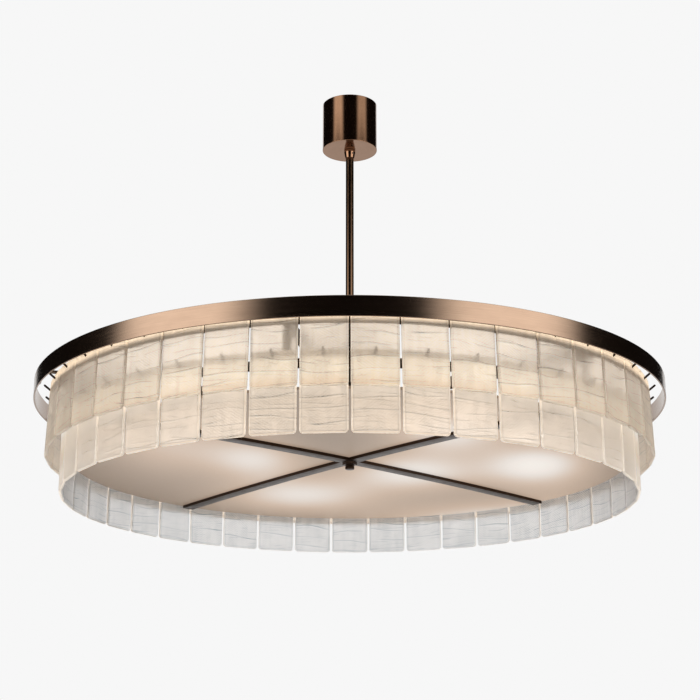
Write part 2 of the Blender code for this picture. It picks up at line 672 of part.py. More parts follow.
def make_lamp(number, turn, parent):
    """A lamp holder on a bent strip under an arm, and the bulb in it, both pointing outwards."""
    start = LAMP_START_RADIUS
    top = arm_foot - SEAT_GAP
    leg = lamp_height - HOLDER_RADIUS - LAMP_LEG_MARGIN
    inner = start - LAMP_STRIP_THICKNESS
    outline = [(start - LAMP_FOOT_LENGTH, top), (start - LAMP_FOOT_LENGTH, top - LAMP_STRIP_THICKNESS),
               (inner, top - LAMP_STRIP_THICKNESS), (inner, leg), (start, leg), (start, top)]
    holder = place(f"lamp_holder_{number}", strip(outline, LAMP_STRIP_WIDTH), [PORCELAIN], parent, turn)
    bore_radius = BULB_CAP_RADIUS + BULB_CAP_CLEARANCE
    bore_floor = HOLDER_LENGTH - BULB_CAP_LENGTH - SEAT_GAP
    lip = HOLDER_LENGTH - HOLDER_LIP_LENGTH
    barrel = turned([(HOLDER_RADIUS, -WELD_DEPTH), (HOLDER_RADIUS, lip), (HOLDER_LIP_RADIUS, lip),
                     (HOLDER_LIP_RADIUS, HOLDER_LENGTH), (bore_radius, HOLDER_LENGTH),
                     (bore_radius, bore_floor)], LAMP_STEPS, capped=True)
    along = Matrix.Translation((start, 0, lamp_height)) @ Matrix.Rotation(math.pi / 2, 4, "Y")
    combine(holder, [cutter(barrel, turn @ along)], "UNION")
    globe_middle = BULB_LENGTH - BULB_GLOBE_RADIUS
    first = math.asin(BULB_NECK_RADIUS / BULB_GLOBE_RADIUS)
    profile = [(BULB_CAP_RADIUS, 0), (BULB_CAP_RADIUS, BULB_CAP_LENGTH + SEAT_GAP),
               (BULB_NECK_RADIUS, BULB_CAP_LENGTH + BULB_NECK_RADIUS - BULB_CAP_RADIUS + SEAT_GAP)]
    for step in range(GLOBE_STEPS + 1):
        angle = first + (math.pi - first) * step / GLOBE_STEPS
        radius = BULB_GLOBE_RADIUS * math.sin(angle) if step < GLOBE_STEPS else 0
        profile.append((radius, globe_middle - BULB_GLOBE_RADIUS * math.cos(angle)))
    seat = Matrix.Translation((0, 0, bore_floor + SEAT_GAP))
    place(f"bulb_{number}", turned(profile, LAMP_STEPS, capped=True), [BULB], parent, turn @ along @ seat)


def make_band(parent):
    """The outer hoop, which hides the pins."""
    inner = BAND_RADIUS - BAND_THICKNESS
    profile = [(inner, band_foot), (BAND_RADIUS, band_foot), (BAND_RADIUS, band_top), (inner, band_top)]
    return place("outer_band", turned(profile, BAND_STEPS), [BRONZE], parent)


def make_centre_rod(parent):
    """The rod that hangs from the hub's cover by its head, and its nut under the cover."""
    head_foot = cover_top + SEAT_GAP
    head_top = head_foot + ROD_HEAD_THICKNESS
    profile = [(ROD_RADIUS, rod_foot), (ROD_RADIUS, head_foot), (ROD_HEAD_RADIUS, head_foot),
               (ROD_HEAD_RADIUS, head_top)]
    place("centre_rod", turned(profile, BORE_STEPS, capped=True), [DARK_BRONZE], parent)
    make_nut("rod_locknut", cover_foot - SEAT_GAP, ROD_NUT_THICKNESS, ROD_NUT_RADIUS,
             ROD_RADIUS + SEAT_GAP, STEEL, parent)


def make_diffuser(parent):
    """The opal disc, and the cross of two flat bars, welded to a six-sided boss, that holds it up."""
    radius = LOWER_TIER.tile_radius - TILE_THICKNESS - DISC_EDGE_GAP
    reach = radius - CROSS_END_MARGIN
    profile = [(radius - DISC_EDGE_CHAMFER, disc_foot), (radius, disc_foot + DISC_EDGE_CHAMFER),
               (radius, disc_top)]
    disc = place("diffuser_disc", turned(profile, DISC_STEPS, capped=True), [OPAL], parent)
    bore = rod((0, 0, finial_foot), (0, 0, disc_top + CUT_OVERRUN), ROD_RADIUS + ROD_CLEARANCE, BORE_STEPS)
    combine(disc, [cutter(bore)], "DIFFERENCE")
    sides = [(CROSS_BOSS_RADIUS, boss_foot), (CROSS_BOSS_RADIUS, cross_top)]
    boss = turned(sides, HEX_STEPS, capped=True)
    cross = place("diffuser_cross", boss, [DARK_BRONZE], parent)
    bar_foot = cross_top - CROSS_BAR_THICKNESS
    bar = [(-reach, bar_foot), (reach, bar_foot), (reach, cross_top), (-reach, cross_top)]
    turns = (CROSS_TURN, CROSS_TURN + math.pi / 2)
    bars = [cutter(strip(bar, CROSS_BAR_WIDTH), outward(turn)) for turn in turns]
    combine(cross, bars, "UNION")
    bore = rod((0, 0, finial_foot), (0, 0, disc_top), ROD_RADIUS + ROD_CLEARANCE, BORE_STEPS)
    combine(cross, [cutter(bore)], "DIFFERENCE")


def make_finial(parent):
    """The blind nut that holds the cross up on the rod."""
    bore = ROD_RADIUS + SEAT_GAP
    profile = [(FINIAL_RADIUS - FINIAL_EDGE, finial_foot), (FINIAL_RADIUS, finial_foot + FINIAL_EDGE),
               (FINIAL_RADIUS, finial_top), (bore, finial_top), (bore, finial_foot + FINIAL_FLOOR)]
    place("finial_nut", turned(profile, SMALL_STEPS, capped=True), [DARK_BRONZE], parent)


def build():
    make_ceiling_plate()
    make_hanger_bolt()
    make_terminal_block()
    pendant = make_axis("pendant_axis", (0, 0, pivot_height))
    make_stem_eye(pendant)
    make_stem(pendant)
    make_hub(pendant)
    for index in range(ARM_COUNT):
        make_arm(index, pendant)
    make_tier("upper_tier", UPPER_TIER, pendant)
    make_tier("lower_tier", LOWER_TIER, pendant)
    make_band(pendant)
    make_centre_rod(pendant)
    canopy = make_axis("canopy_axis", (0, 0, canopy_foot), pendant)
    make_canopy(canopy)
    make_collar(canopy)
    diffuser = make_axis("diffuser_axis", (0, 0, disc_foot), pendant)
    make_diffuser(diffuser)
    finial = make_axis("finial_axis", (0, 0, finial_top), diffuser)
    make_finial(finial)


build()
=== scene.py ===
import math
from functools import partial

import bmesh
import bpy
from mathutils import Matrix, Vector


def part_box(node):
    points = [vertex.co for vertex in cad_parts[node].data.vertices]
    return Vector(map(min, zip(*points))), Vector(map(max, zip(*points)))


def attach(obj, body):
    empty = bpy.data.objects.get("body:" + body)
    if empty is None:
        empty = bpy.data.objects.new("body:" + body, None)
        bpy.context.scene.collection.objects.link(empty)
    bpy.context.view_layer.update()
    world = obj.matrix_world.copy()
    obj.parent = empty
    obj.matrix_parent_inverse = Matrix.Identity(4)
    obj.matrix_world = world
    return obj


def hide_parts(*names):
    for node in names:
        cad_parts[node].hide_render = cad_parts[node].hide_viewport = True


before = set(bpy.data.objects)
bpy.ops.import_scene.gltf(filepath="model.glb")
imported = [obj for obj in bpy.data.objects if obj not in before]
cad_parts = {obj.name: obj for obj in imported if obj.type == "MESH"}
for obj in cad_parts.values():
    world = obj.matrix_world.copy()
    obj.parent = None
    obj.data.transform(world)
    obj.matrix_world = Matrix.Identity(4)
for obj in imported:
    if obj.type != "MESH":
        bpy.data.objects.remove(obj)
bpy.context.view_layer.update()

MM = 0.001

# Sizes of the tiers with their pins and rails, the lamps, the stem and the rod
SEAT_GAP = 0.3 * MM
ARM_COUNT = 6
ARM_PHASE = math.radians(-101)
FRONT = math.radians(-90)
TIER_ARCS = 3
UPPER_TILES = 44
LOWER_TILES = 41
UPPER_TIER_RADIUS = 571.7 * MM
LOWER_TIER_RADIUS = 543.6 * MM
UPPER_TILE_HEIGHT = 129 * MM
LOWER_TILE_HEIGHT = 139 * MM
UPPER_TILE_TOP = -630 * MM
LOWER_TILE_TOP = -689 * MM
UPPER_TILE_LEAN = math.radians(1.9)
TILE_WIDTH = 78.5 * MM
TILE_THICKNESS = 7 * MM
TILE_TOP_CORNER = 9 * MM
TILE_FOOT_CORNER = 6.8 * MM
TILE_HOLE_DROP = 12.7 * MM
TILE_BACK_GAP = 2 * MM
PIN_RADIUS = 2 * MM
PIN_RISE = math.radians(38)
PIN_REACH = 19.5 * MM
RAIL_THICKNESS = 3 * MM
RAIL_JOINT_GAP = 0.6 * MM
UPPER_RAIL = (-652 * MM, -626 * MM)
LOWER_RAIL = (-717.5 * MM, -701 * MM)
LAMP_START = 235 * MM
LAMP_HEIGHT = -676 * MM
HOLDER_LENGTH = 34 * MM
HOLDER_RADIUS = 13 * MM
HOLDER_LIP_RADIUS = 14.8 * MM
HOLDER_LIP_LENGTH = 8 * MM
BULB_LENGTH = 80 * MM
BULB_CAP_RADIUS = 6.8 * MM
BULB_CAP_LENGTH = 21 * MM
BULB_NECK_RADIUS = 9.5 * MM
BULB_GLOBE_RADIUS = 22.5 * MM
BAND_THICKNESS = 3 * MM
STEM_BORE = 6 * MM
STEM_RADIUS = 8 * MM
DRUM_WALL = 2 * MM
ROD_RADIUS = 5 * MM

# The nut pulls the middle of the cross and the disc up
MIDDLE_RISE = 8 * MM
RISE_FALL = 0.035
CROSS_TURN = math.radians(41.2)

# How far each cast tile swings on its pin, and the waves in its faces
TILE_SWING = math.radians(0.32)
TILE_WAVE_HEIGHT = 0.5 * MM
TILE_WAVE_LENGTH = 26 * MM

# Fineness of what shows
ROUND_STEPS = 360
SMALL_STEPS = 48
EDGE_STEPS = 3
TILE_CORNER_STEPS = 6
TILE_SIDE_STEPS = 6
TILE_HEIGHT_STEPS = 10
TILE_RIM_STEPS = 8
RAIL_STEPS = 8
DOME_STEPS = 6
DISC_RINGS = 24
BAR_STEPS = 14
TILE_FACE_INSETS = (4.4 * MM, 6 * MM)
TILE_FACE_RINGS = (0.84, 0.62, 0.38, 0.16)

UV_MAP = "metres"


def linear(code):
    """A six-digit sRGB hex code as linear red, green, blue and alpha."""
    channels = [int(code[start:start + 2], 16) / 255 for start in (0, 2, 4)]
    return [c / 12.92 if c <= 0.04045 else ((c + 0.055) / 1.055) ** 2.4 for c in channels] + [1]


def add(tree, kind, inputs=None, **settings):
    """Adds a node. Each input is a value, or the node or socket that it is linked from."""
    made = tree.nodes.new(kind)
    for name, value in settings.items():
        setattr(made, name, value)
    for key, value in (inputs or {}).items():
        if isinstance(value, bpy.types.Node):
            value = value.outputs[0]
        if isinstance(value, bpy.types.NodeSocket):
            tree.links.new(value, made.inputs[key])
        else:
            made.inputs[key].default_value = value
    return made


def blank_material(name):
    """A material with nothing but its shader, and that shader."""
    material = bpy.data.materials.new(name)
    material.use_nodes = True
    return material, material.node_tree, material.node_tree.nodes["Principled BSDF"]


def feed(tree, shader, inputs):
    for name, source in inputs.items():
        source = source.outputs[0] if isinstance(source, bpy.types.Node) else source
        tree.links.new(source, shader.inputs[name])


def maths(tree, operation, *values):
    return add(tree, "ShaderNodeMath", dict(enumerate(values)), operation=operation)


def vector_maths(tree, operation, *values):
    return add(tree, "ShaderNodeVectorMath", dict(enumerate(values)), operation=operation)


def blend(tree, share, first, second):
    """A colour between two others."""
    return add(tree, "ShaderNodeMix", {0: share, 6: first, 7: second}, data_type="RGBA").outputs[2]


def ramp(tree, value, low, high, at_low=0, at_high=1):
    """A level that eases from one to another while the value goes from low to high."""
    return add(tree, "ShaderNodeMapRange", {"Value": value, 1: low, 2: high, 3: at_low, 4: at_high},
               interpolation_type="SMOOTHSTEP")


def spread(tree, noise, at_low, at_high, low=0.3, high=0.7):
    """A level that follows the middle range of a noise."""
    return add(tree, "ShaderNodeMapRange", {"Value": noise, 1: low, 2: high, 3: at_low, 4: at_high})


def brushed_bronze(name, dark, pale, roughness):
    """Bronze, brushed along its length and waxed dark.
    The eye sees long fine lines and soft, streaked highlights."""
    material, tree, shader = blank_material(name)
    line_length, line_width = 90 * MM, 1.6 * MM
    patch_length, patch_width = 60 * MM, 25 * MM
    place = add(tree, "ShaderNodeUVMap", uv_map=UV_MAP)
    along = add(tree, "ShaderNodeMapping", {"Vector": place, "Scale": (1 / line_length, 1 / line_width, 1)})
    lines = add(tree, "ShaderNodeTexNoise", {"Vector": along, "Scale": 1, "Detail": 5, "Roughness": 0.7})
    cloud = add(tree, "ShaderNodeMapping", {"Vector": place, "Scale": (1 / patch_length, 1 / patch_width, 1)})
    patina = add(tree, "ShaderNodeTexNoise", {"Vector": cloud, "Scale": 1, "Detail": 3})
    colour = blend(tree, patina, linear(dark), linear(pale))
    tinted = vector_maths(tree, "MULTIPLY", colour, spread(tree, lines, 0.88, 1.08))
    dulled = spread(tree, lines, roughness * 0.8, roughness * 1.2)
    relief = add(tree, "ShaderNodeBump", {"Height": lines, "Strength": 0.05, "Distance": 0.05 * MM})
    feed(tree, shader, {"Base Color": tinted, "Roughness": dulled, "Normal": relief})
    shader.inputs["Metallic"].default_value = 1
    return material


def mottled_bronze(name, dark, pale, roughness):
    """A satin bronze finish, smooth and slightly mottled."""
    material, tree, shader = blank_material(name)
    place = add(tree, "ShaderNodeTexCoord").outputs["Object"]
    mottle = add(tree, "ShaderNodeTexNoise", {"Vector": place, "Scale": 1 / (14 * MM), "Detail": 4})
    grain = add(tree, "ShaderNodeTexNoise", {"Vector": place, "Scale": 1 / (1.2 * MM), "Detail": 2})
    colour = blend(tree, mottle, linear(dark), linear(pale))
    dulled = spread(tree, mottle, roughness * 0.85, roughness * 1.15)
    relief = add(tree, "ShaderNodeBump", {"Height": grain, "Strength": 0.08, "Distance": 0.1 * MM})
    feed(tree, shader, {"Base Color": colour, "Roughness": dulled, "Normal": relief})
    shader.inputs["Metallic"].default_value = 1
    return material


def cast_glass():
    """Glass cast on a creased bed: cloudy, with long fine creases across it and patches of slanting ripples.
    What is behind it shows as soft shapes, and its outer face has a painted glow, as if lit by the lamps.
    A painted shade line runs inside its rim, and a lower tile's rim has a painted glow."""
    material, tree, shader = blank_material("cast_glass")
    crease_spacing, fine_spacing, ripple_spacing, rim = 21 * MM, 9 * MM, 4 * MM, 3.4 * MM
    on_tile = add(tree, "ShaderNodeAttribute", attribute_name="on_tile").outputs["Vector"]
    cast, edge, outer, row = (add(tree, "ShaderNodeAttribute", attribute_name=name).outputs["Fac"]
                              for name in ("cast", "edge", "outer", "row"))
    # Each tile shows another part of the bed
    place = vector_maths(tree, "ADD", on_tile, vector_maths(tree, "MULTIPLY", (3.1, 7.3, 1.7), cast))
    depth = add(tree, "ShaderNodeSeparateXYZ", {0: on_tile}).outputs["Y"]

    math_node, ranged, mixed = partial(maths, tree), partial(ramp, tree), partial(blend, tree)

    def noise(wide, high, detail):
        fitted = add(tree, "ShaderNodeMapping", {"Vector": place, "Scale": (1 / wide, 1 / high, 1)})
        return add(tree, "ShaderNodeTexNoise", {"Vector": fitted, "Scale": 1, "Detail": detail})

    def by_row(upper, lower):
        """One level on the upper tiles and another on the lower."""
        return add(tree, "ShaderNodeMix", {0: row, 2: upper, 3: lower}, data_type="FLOAT")

    def creases(spacing, slant, kept, *lines):
        """Nearly straight creases, each as lines given by how far below it they lie and their half width."""
        tilted = add(tree, "ShaderNodeMapping", {"Vector": place, "Rotation": (0, 0, math.radians(slant))})
        down = add(tree, "ShaderNodeSeparateXYZ", {0: tilted}).outputs["Y"]
        wander = math_node("MULTIPLY", noise(150 * MM, 70 * MM, 1), 38 * MM / spacing)
        level = math_node("MULTIPLY_ADD", down, 1 / spacing, wander)
        drawn = []
        for below, half_width in lines:
            shifted = math_node("SUBTRACT", level, below / spacing)
            line = add(tree, "ShaderNodeTexVoronoi", {"W": shifted, "Scale": 1}, voronoi_dimensions="1D",
                       feature="DISTANCE_TO_EDGE")
            line = ranged(line.outputs["Distance"], 0, half_width / spacing, 1, 0)
            drawn.append(math_node("MULTIPLY", line, kept))
        return drawn

    whole = ranged(noise(95 * MM, 14 * MM, 1), 0.40, 0.50)
    broken = ranged(noise(45 * MM, 6 * MM, 1), 0.47, 0.57)
    # Each crease: a line of painted shade, and just below it a line of painted highlight
    shaded_crease, crease_highlight = creases(crease_spacing, 1.5, whole, (0, 0.9 * MM), (1.8 * MM, 1.3 * MM))
    shaded_fine_crease, fine_crease_highlight = creases(fine_spacing, -4, broken, (0, 0.8 * MM), (1.5 * MM, 1.0 * MM))
    cloud = ranged(noise(34 * MM, 24 * MM, 3), 0.25, 0.75, 0.96, 1.03)
    drapes = ranged(noise(8 * MM, 70 * MM, 2), 0.3, 0.7, 0.93, 1.05)
    grain = ranged(noise(3.5 * MM, 2.2 * MM, 2), 0.3, 0.7, 0.94, 1.05)

    def ripples(slant, low, high):
        tilted = add(tree, "ShaderNodeMapping", {
            "Vector": place, "Rotation": (0, 0, math.radians(slant)),
            "Scale": (1 / ripple_spacing, 1 / ripple_spacing, 1)})
        wave = add(tree, "ShaderNodeTexWave", {
            "Vector": tilted, "Scale": 1 / math.pi, "Distortion": 2.2, "Detail": 1, "Detail Scale": 0.3},
            bands_direction="Y")
        return math_node("MULTIPLY", wave, ranged(noise(46 * MM, 38 * MM, 1), low, high))

    both_ripples = math_node("ADD", ripples(38, 0.42, 0.56), ripples(-33, 0.52, 0.40))

    # Painted shade along the creases, and painted highlights below them, darken and lighten the tone
    tone = math_node("MULTIPLY_ADD", shaded_crease, -0.45, 1.07)
    tone = math_node("MULTIPLY_ADD", crease_highlight, 0.16, tone)
    tone = math_node("MULTIPLY_ADD", shaded_fine_crease, -0.32, tone)
    tone = math_node("MULTIPLY_ADD", fine_crease_highlight, 0.10, tone)
    tone = math_node("MULTIPLY_ADD", both_ripples, math_node("MULTIPLY_ADD", row, -0.12, -0.11), tone)
    for soft in (cloud, drapes, grain):
        tone = math_node("MULTIPLY", tone, soft)
    # Painted shade: a dark line just inside the rim, where the rounded edge turns into the face
    from_line = math_node("ABSOLUTE", math_node("SUBTRACT", edge, rim))
    tone = math_node("MULTIPLY", tone, ranged(from_line, 0.3 * MM, 1.3 * MM, 0.80, 1))
    # Painted glow: a lower tile is lighter towards its edge, where its rounded rim catches the light
    rim_glow = by_row(1.0, ranged(edge, 1.2 * MM, rim, 1.28, 1))
    tone = math_node("MULTIPLY", tone, rim_glow)
    # Painted shade: short dark strokes crowd the top of an upper tile, where the rail and the band behind it
    # darken it
    rail_shade_strokes = ranged(noise(16 * MM, 1.7 * MM, 2), 0.50, 0.60)
    rail_shade_strokes = math_node("MULTIPLY", rail_shade_strokes, ranged(depth, 5 * MM, 15 * MM, 1, 0))
    tone = math_node("MULTIPLY", tone, math_node("MULTIPLY_ADD", rail_shade_strokes, -0.35, 1))

    # Painted glow: only the outer face, seen from outside, glows as if lit by the lamps inside
    seen_inside = add(tree, "ShaderNodeNewGeometry").outputs["Backfacing"]
    lit = math_node("MULTIPLY", outer, math_node("SUBTRACT", 1, seen_inside))
    # The top of a lower tile is in the shade of its rail
    shade = by_row(1.0, ranged(depth, 9 * MM, 20 * MM, 0.12, 1))
    glow = math_node("MULTIPLY", math_node("MULTIPLY", lit, tone), shade)
    body = vector_maths(tree, "MULTIPLY", mixed(row, linear("FAEAD9"), linear("FAF8F6")), tone)
    # Painted shade in its creases and darker marks is cooler than the rest of it
    cool_shade = vector_maths(tree, "MULTIPLY", (-0.11, 0, 0.07), math_node("SUBTRACT", 1.06, tone))
    body = vector_maths(tree, "ADD", body, cool_shade)
    # The painted glow of both tiers is a little brighter at the top, and they are cloudier there, where the
    # rails are behind them
    lower_hue = mixed(ranged(depth, 38 * MM, 58 * MM), (0.50, 0.52, 0.49, 1), (0.385, 0.30, 0.21, 1))
    upper_hue = mixed(ranged(depth, 10 * MM, 22 * MM), (1.0, 0.78, 0.54, 1), (0.145, 0.12, 0.09, 1))
    # The painted glow dims towards the sides, as though the lamps stood nearer the front and the back than
    # the sides
    from_stem = add(tree, "ShaderNodeTexCoord").outputs["Object"]
    across = add(tree, "ShaderNodeSeparateXYZ", {0: from_stem}).outputs["X"]
    glow = math_node("MULTIPLY", glow, ranged(math_node("ABSOLUTE", across), 0.12, 0.5, 1.04, 0.82))
    light = vector_maths(tree, "MULTIPLY", mixed(row, upper_hue, lower_hue), glow)
    clear = by_row(ranged(depth, 12 * MM, 26 * MM, 0.36, 0.86), ranged(depth, 60 * MM, 84 * MM, 0.30, 0.86))
    relief = math_node("MULTIPLY_ADD", shaded_crease, -1, math_node("MULTIPLY", both_ripples, 0.35))
    relief = math_node("MULTIPLY_ADD", shaded_fine_crease, -0.6, relief)
    bump = add(tree, "ShaderNodeBump", {"Height": relief, "Strength": 0.5, "Distance": 0.4 * MM})
    feed(tree, shader, {"Base Color": body, "Emission Color": light, "Transmission Weight": clear,
                        "Normal": bump})
    shader.inputs["Emission Strength"].default_value = 1
    shader.inputs["Roughness"].default_value = 0.32
    shader.inputs["Specular IOR Level"].default_value = 0.12
    shader.inputs["IOR"].default_value = 1.45
    return material


def opal_acrylic():
    """Opal acrylic sheet, lit from above. Its light is painted: soft pale painted pools of lamp light, and a
    warm painted glow between them.
    """
    material, tree, shader = blank_material("opal_acrylic")
    place = add(tree, "ShaderNodeTexCoord").outputs["Object"]
    flat = vector_maths(tree, "MULTIPLY", place, (1, 1, 0))
    # Each painted pool of light: its place on the sheet, its spread along X and Y, and how bright it is
    painted_pools = (
        ((-103, 311), (160, 155), 0.43), ((360, 25), (103, 166), 0.52), ((-180, 0), (94, 176), 0.40),
        ((123, 111), (136, 158), 0.47), ((558, 600), (400, 219), 1.0), ((-335, -150), (116, 260), 0.30),
        ((180, -217), (109, 175), 0.45), ((450, 230), (130, 160), 0.12),
    )
    total = 0.125
    for (x, y), (wide, deep), strength in painted_pools:
        apart = vector_maths(tree, "SUBTRACT", flat, (x * MM, y * MM, 0))
        apart = vector_maths(tree, "MULTIPLY", apart, (1 / (wide * MM), 1 / (deep * MM), 0))
        away = vector_maths(tree, "LENGTH", apart).outputs["Value"]
        fall = maths(tree, "MULTIPLY", maths(tree, "MULTIPLY", away, away), -1.0)
        total = maths(tree, "MULTIPLY_ADD", maths(tree, "EXPONENT", fall), strength, total)
    hue = blend(tree, ramp(tree, total, 0.36, 0.62), linear("FFE0C6"), linear("FFFAF5"))
    light = vector_maths(tree, "MULTIPLY", hue, total)
    grain = add(tree, "ShaderNodeTexNoise", {"Vector": place, "Scale": 1 / (6 * MM), "Detail": 3})
    dulled = add(tree, "ShaderNodeMapRange", {"Value": grain, 3: 0.42, 4: 0.52})
    feed(tree, shader, {"Emission Color": light, "Roughness": dulled})
    shader.inputs["Base Color"].default_value = linear("8C7B6A")
    shader.inputs["Emission Strength"].default_value = 1
    return material


def frosted_bulb():
    """Frosted bulb glass, lit, a little brighter round its middle."""
    material, tree, shader = blank_material("frosted_bulb")
    facing = add(tree, "ShaderNodeLayerWeight", {"Blend": 0.4}).outputs["Facing"]
    level = add(tree, "ShaderNodeMapRange", {"Value": facing, 3: 1.0, 4: 0.75})
    light = vector_maths(tree, "MULTIPLY", linear("FFF0DA")[:3], level)
    feed(tree, shader, {"Emission Color": light})
    shader.inputs["Base Color"].default_value = linear("F4EFE6")
    shader.inputs["Emission Strength"].default_value = 1
    shader.inputs["Roughness"].default_value = 0.45
    return material


def speckled(name, dark, pale, roughness, metallic, grain):
    """A plain finish with a fine, faint grain: zinc plate, glazed porcelain or nickelled brass."""
    material, tree, shader = blank_material(name)
    place = add(tree, "ShaderNodeTexCoord").outputs["Object"]
    noise = add(tree, "ShaderNodeTexNoise", {"Vector": place, "Scale": 1 / grain, "Detail": 3})
    colour = blend(tree, noise, linear(dark), linear(pale))
    dulled = add(tree, "ShaderNodeMapRange", {"Value": noise, 3: roughness * 0.8, 4: roughness * 1.2})
    feed(tree, shader, {"Base Color": colour, "Roughness": dulled})
    shader.inputs["Metallic"].default_value = metallic
    return material


BAND_BRONZE = brushed_bronze("brushed_bronze", "8E7868", "9E8876", 0.17)
CANOPY_BRONZE = brushed_bronze("brushed_brown_bronze", "8C6B53", "9A7860", 0.12)
STEM_BRONZE = mottled_bronze("smooth_bronze", "66503F", "745C49", 0.14)
DARK_BRONZE = mottled_bronze("dark_bronze", "34271F", "44352B", 0.36)
GLASS = cast_glass()
OPAL = opal_acrylic()
BULB = frosted_bulb()
ZINC = speckled("zinc_plated_steel", "8F9294", "B9BCBE", 0.34, 1, 3 * MM)
PORCELAIN = speckled("glazed_porcelain", "DAD5C9", "EFEBE2", 0.22, 0, 8 * MM)
NICKEL = speckled("nickelled_brass", "A39A88", "C4BCAA", 0.28, 1, 2 * MM)


def make_object(name, bm, material):
    """A smooth-shaded object from a bmesh, with its place in its mesh."""
    bmesh.ops.recalc_face_normals(bm, faces=bm.faces)
    mesh = bpy.data.meshes.new(name)
    bm.to_mesh(mesh)
    bm.free()
    mesh.materials.append(material)
    mesh.shade_smooth()
    mesh.set_sharp_from_angle(angle=math.radians(40))
    piece = bpy.data.objects.new(name, mesh)
    bpy.context.scene.collection.objects.link(piece)
    return piece


def belongs(piece, body, slot, *nodes):
    """Says which body a piece rides on and which plain pieces it stands for. The finish it is given, slot, is
    not used.
    """
    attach(piece, body)
    if nodes:
        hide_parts(*nodes)


def rounded(corners, radius, steps=EDGE_STEPS):
    """A closed outline with its corners rounded, by less where a side is too short.
    A point beside each rounding keeps the shading of the long sides straight."""
    points = []
    for index, corner in enumerate(corners):
        here = Vector(corner)
        before = Vector(corners[index - 1]) - here
        after = Vector(corners[(index + 1) % len(corners)]) - here
        half = before.angle(after) / 2
        cut = min(radius / math.tan(half), before.length * 0.45, after.length * 0.45)
        reach = cut / math.cos(half)
        middle = here + (before.normalized() + after.normalized()).normalized() * reach
        start = here + before.normalized() * cut - middle
        end = here + after.normalized() * cut - middle
        hold = min(radius / 2, before.length * 0.04, after.length * 0.04) + cut
        points.append(tuple(here + before.normalized() * hold))
        points += [tuple(middle + start.slerp(end, step / steps) * start.length) for step in range(steps + 1)]
        points.append(tuple(here + after.normalized() * hold))
    return points


def turned(profile, steps=ROUND_STEPS, closed=True):
    """Points (radius, height) turned about Z, with a UV map in metres.
    An open profile starts and ends on the axis."""
    bm = bmesh.new()
    uv = bm.loops.layers.uv.new(UV_MAP)
    mean = sum(radius for radius, height in profile) / len(profile)
    profile = list(profile) + list(profile[:1] if closed else ())
    run = [0]
    for here, there in zip(profile, profile[1:]):
        run.append(run[-1] + (Vector(there) - Vector(here)).length)
    rings = []
    for radius, height in profile[:-1] if closed else profile:
        count = 1 if radius == 0 else steps
        angles = [2 * math.pi * step / steps for step in range(count)]
        rings.append([bm.verts.new((radius * math.cos(a), radius * math.sin(a), height)) for a in angles])
    if closed:
        rings.append(rings[0])
    for row, (ring, following) in enumerate(zip(rings, rings[1:])):
        for step in range(steps):
            corners = {}
            for around, along in ((step, row), (step + 1, row), (step + 1, row + 1), (step, row + 1)):
                source = ring if along == row else following
                spot = (2 * math.pi * mean * around / steps, run[along])
                corners.setdefault(source[around % len(source)], spot)
            face = bm.faces.new(corners)
            for loop in face.loops:
                loop[uv].uv = corners[loop.vert]
    return bm


def rolled_out(bm, matrix):
    """The same mesh, moved to where it belongs."""
    bmesh.ops.transform(bm, matrix=matrix, verts=bm.verts)
    return bm


def bevelled(bm, edges, size):
    """The same mesh, with these edges rounded."""
    bmesh.ops.bevel(bm, geom=edges, offset=size, segments=2, profile=0.5, affect="EDGES", clamp_overlap=True)
    return bm


def softened(node, edge):
    """A copy of a plain piece's mesh, with its faces joined up and its corners rounded."""
    bm = bmesh.new()
    bm.from_mesh(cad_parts[node].data)
    bmesh.ops.remove_doubles(bm, verts=bm.verts, dist=0.001 * MM)
    bmesh.ops.dissolve_limit(bm, angle_limit=math.radians(1), verts=bm.verts, edges=bm.edges)
    corners = [e for e in bm.edges if len(e.link_faces) == 2 and e.calc_face_angle() > math.radians(50)]
    return bevelled(bm, corners, edge)


def prism(outline, width, edge):
    """An (x, z) outline given width along Y, with its corners rounded."""
    bm = bmesh.new()
    sides = [[bm.verts.new((x, y, z)) for x, z in outline] for y in (-width / 2, width / 2)]
    bm.faces.new(sides[0])
    bm.faces.new(list(reversed(sides[1])))
    for index in range(len(outline)):
        after = (index + 1) % len(outline)
        bm.faces.new((sides[0][index], sides[0][after], sides[1][after], sides[1][index]))
    bmesh.ops.recalc_face_normals(bm, faces=bm.faces)
    return bevelled(bm, bm.edges, edge)


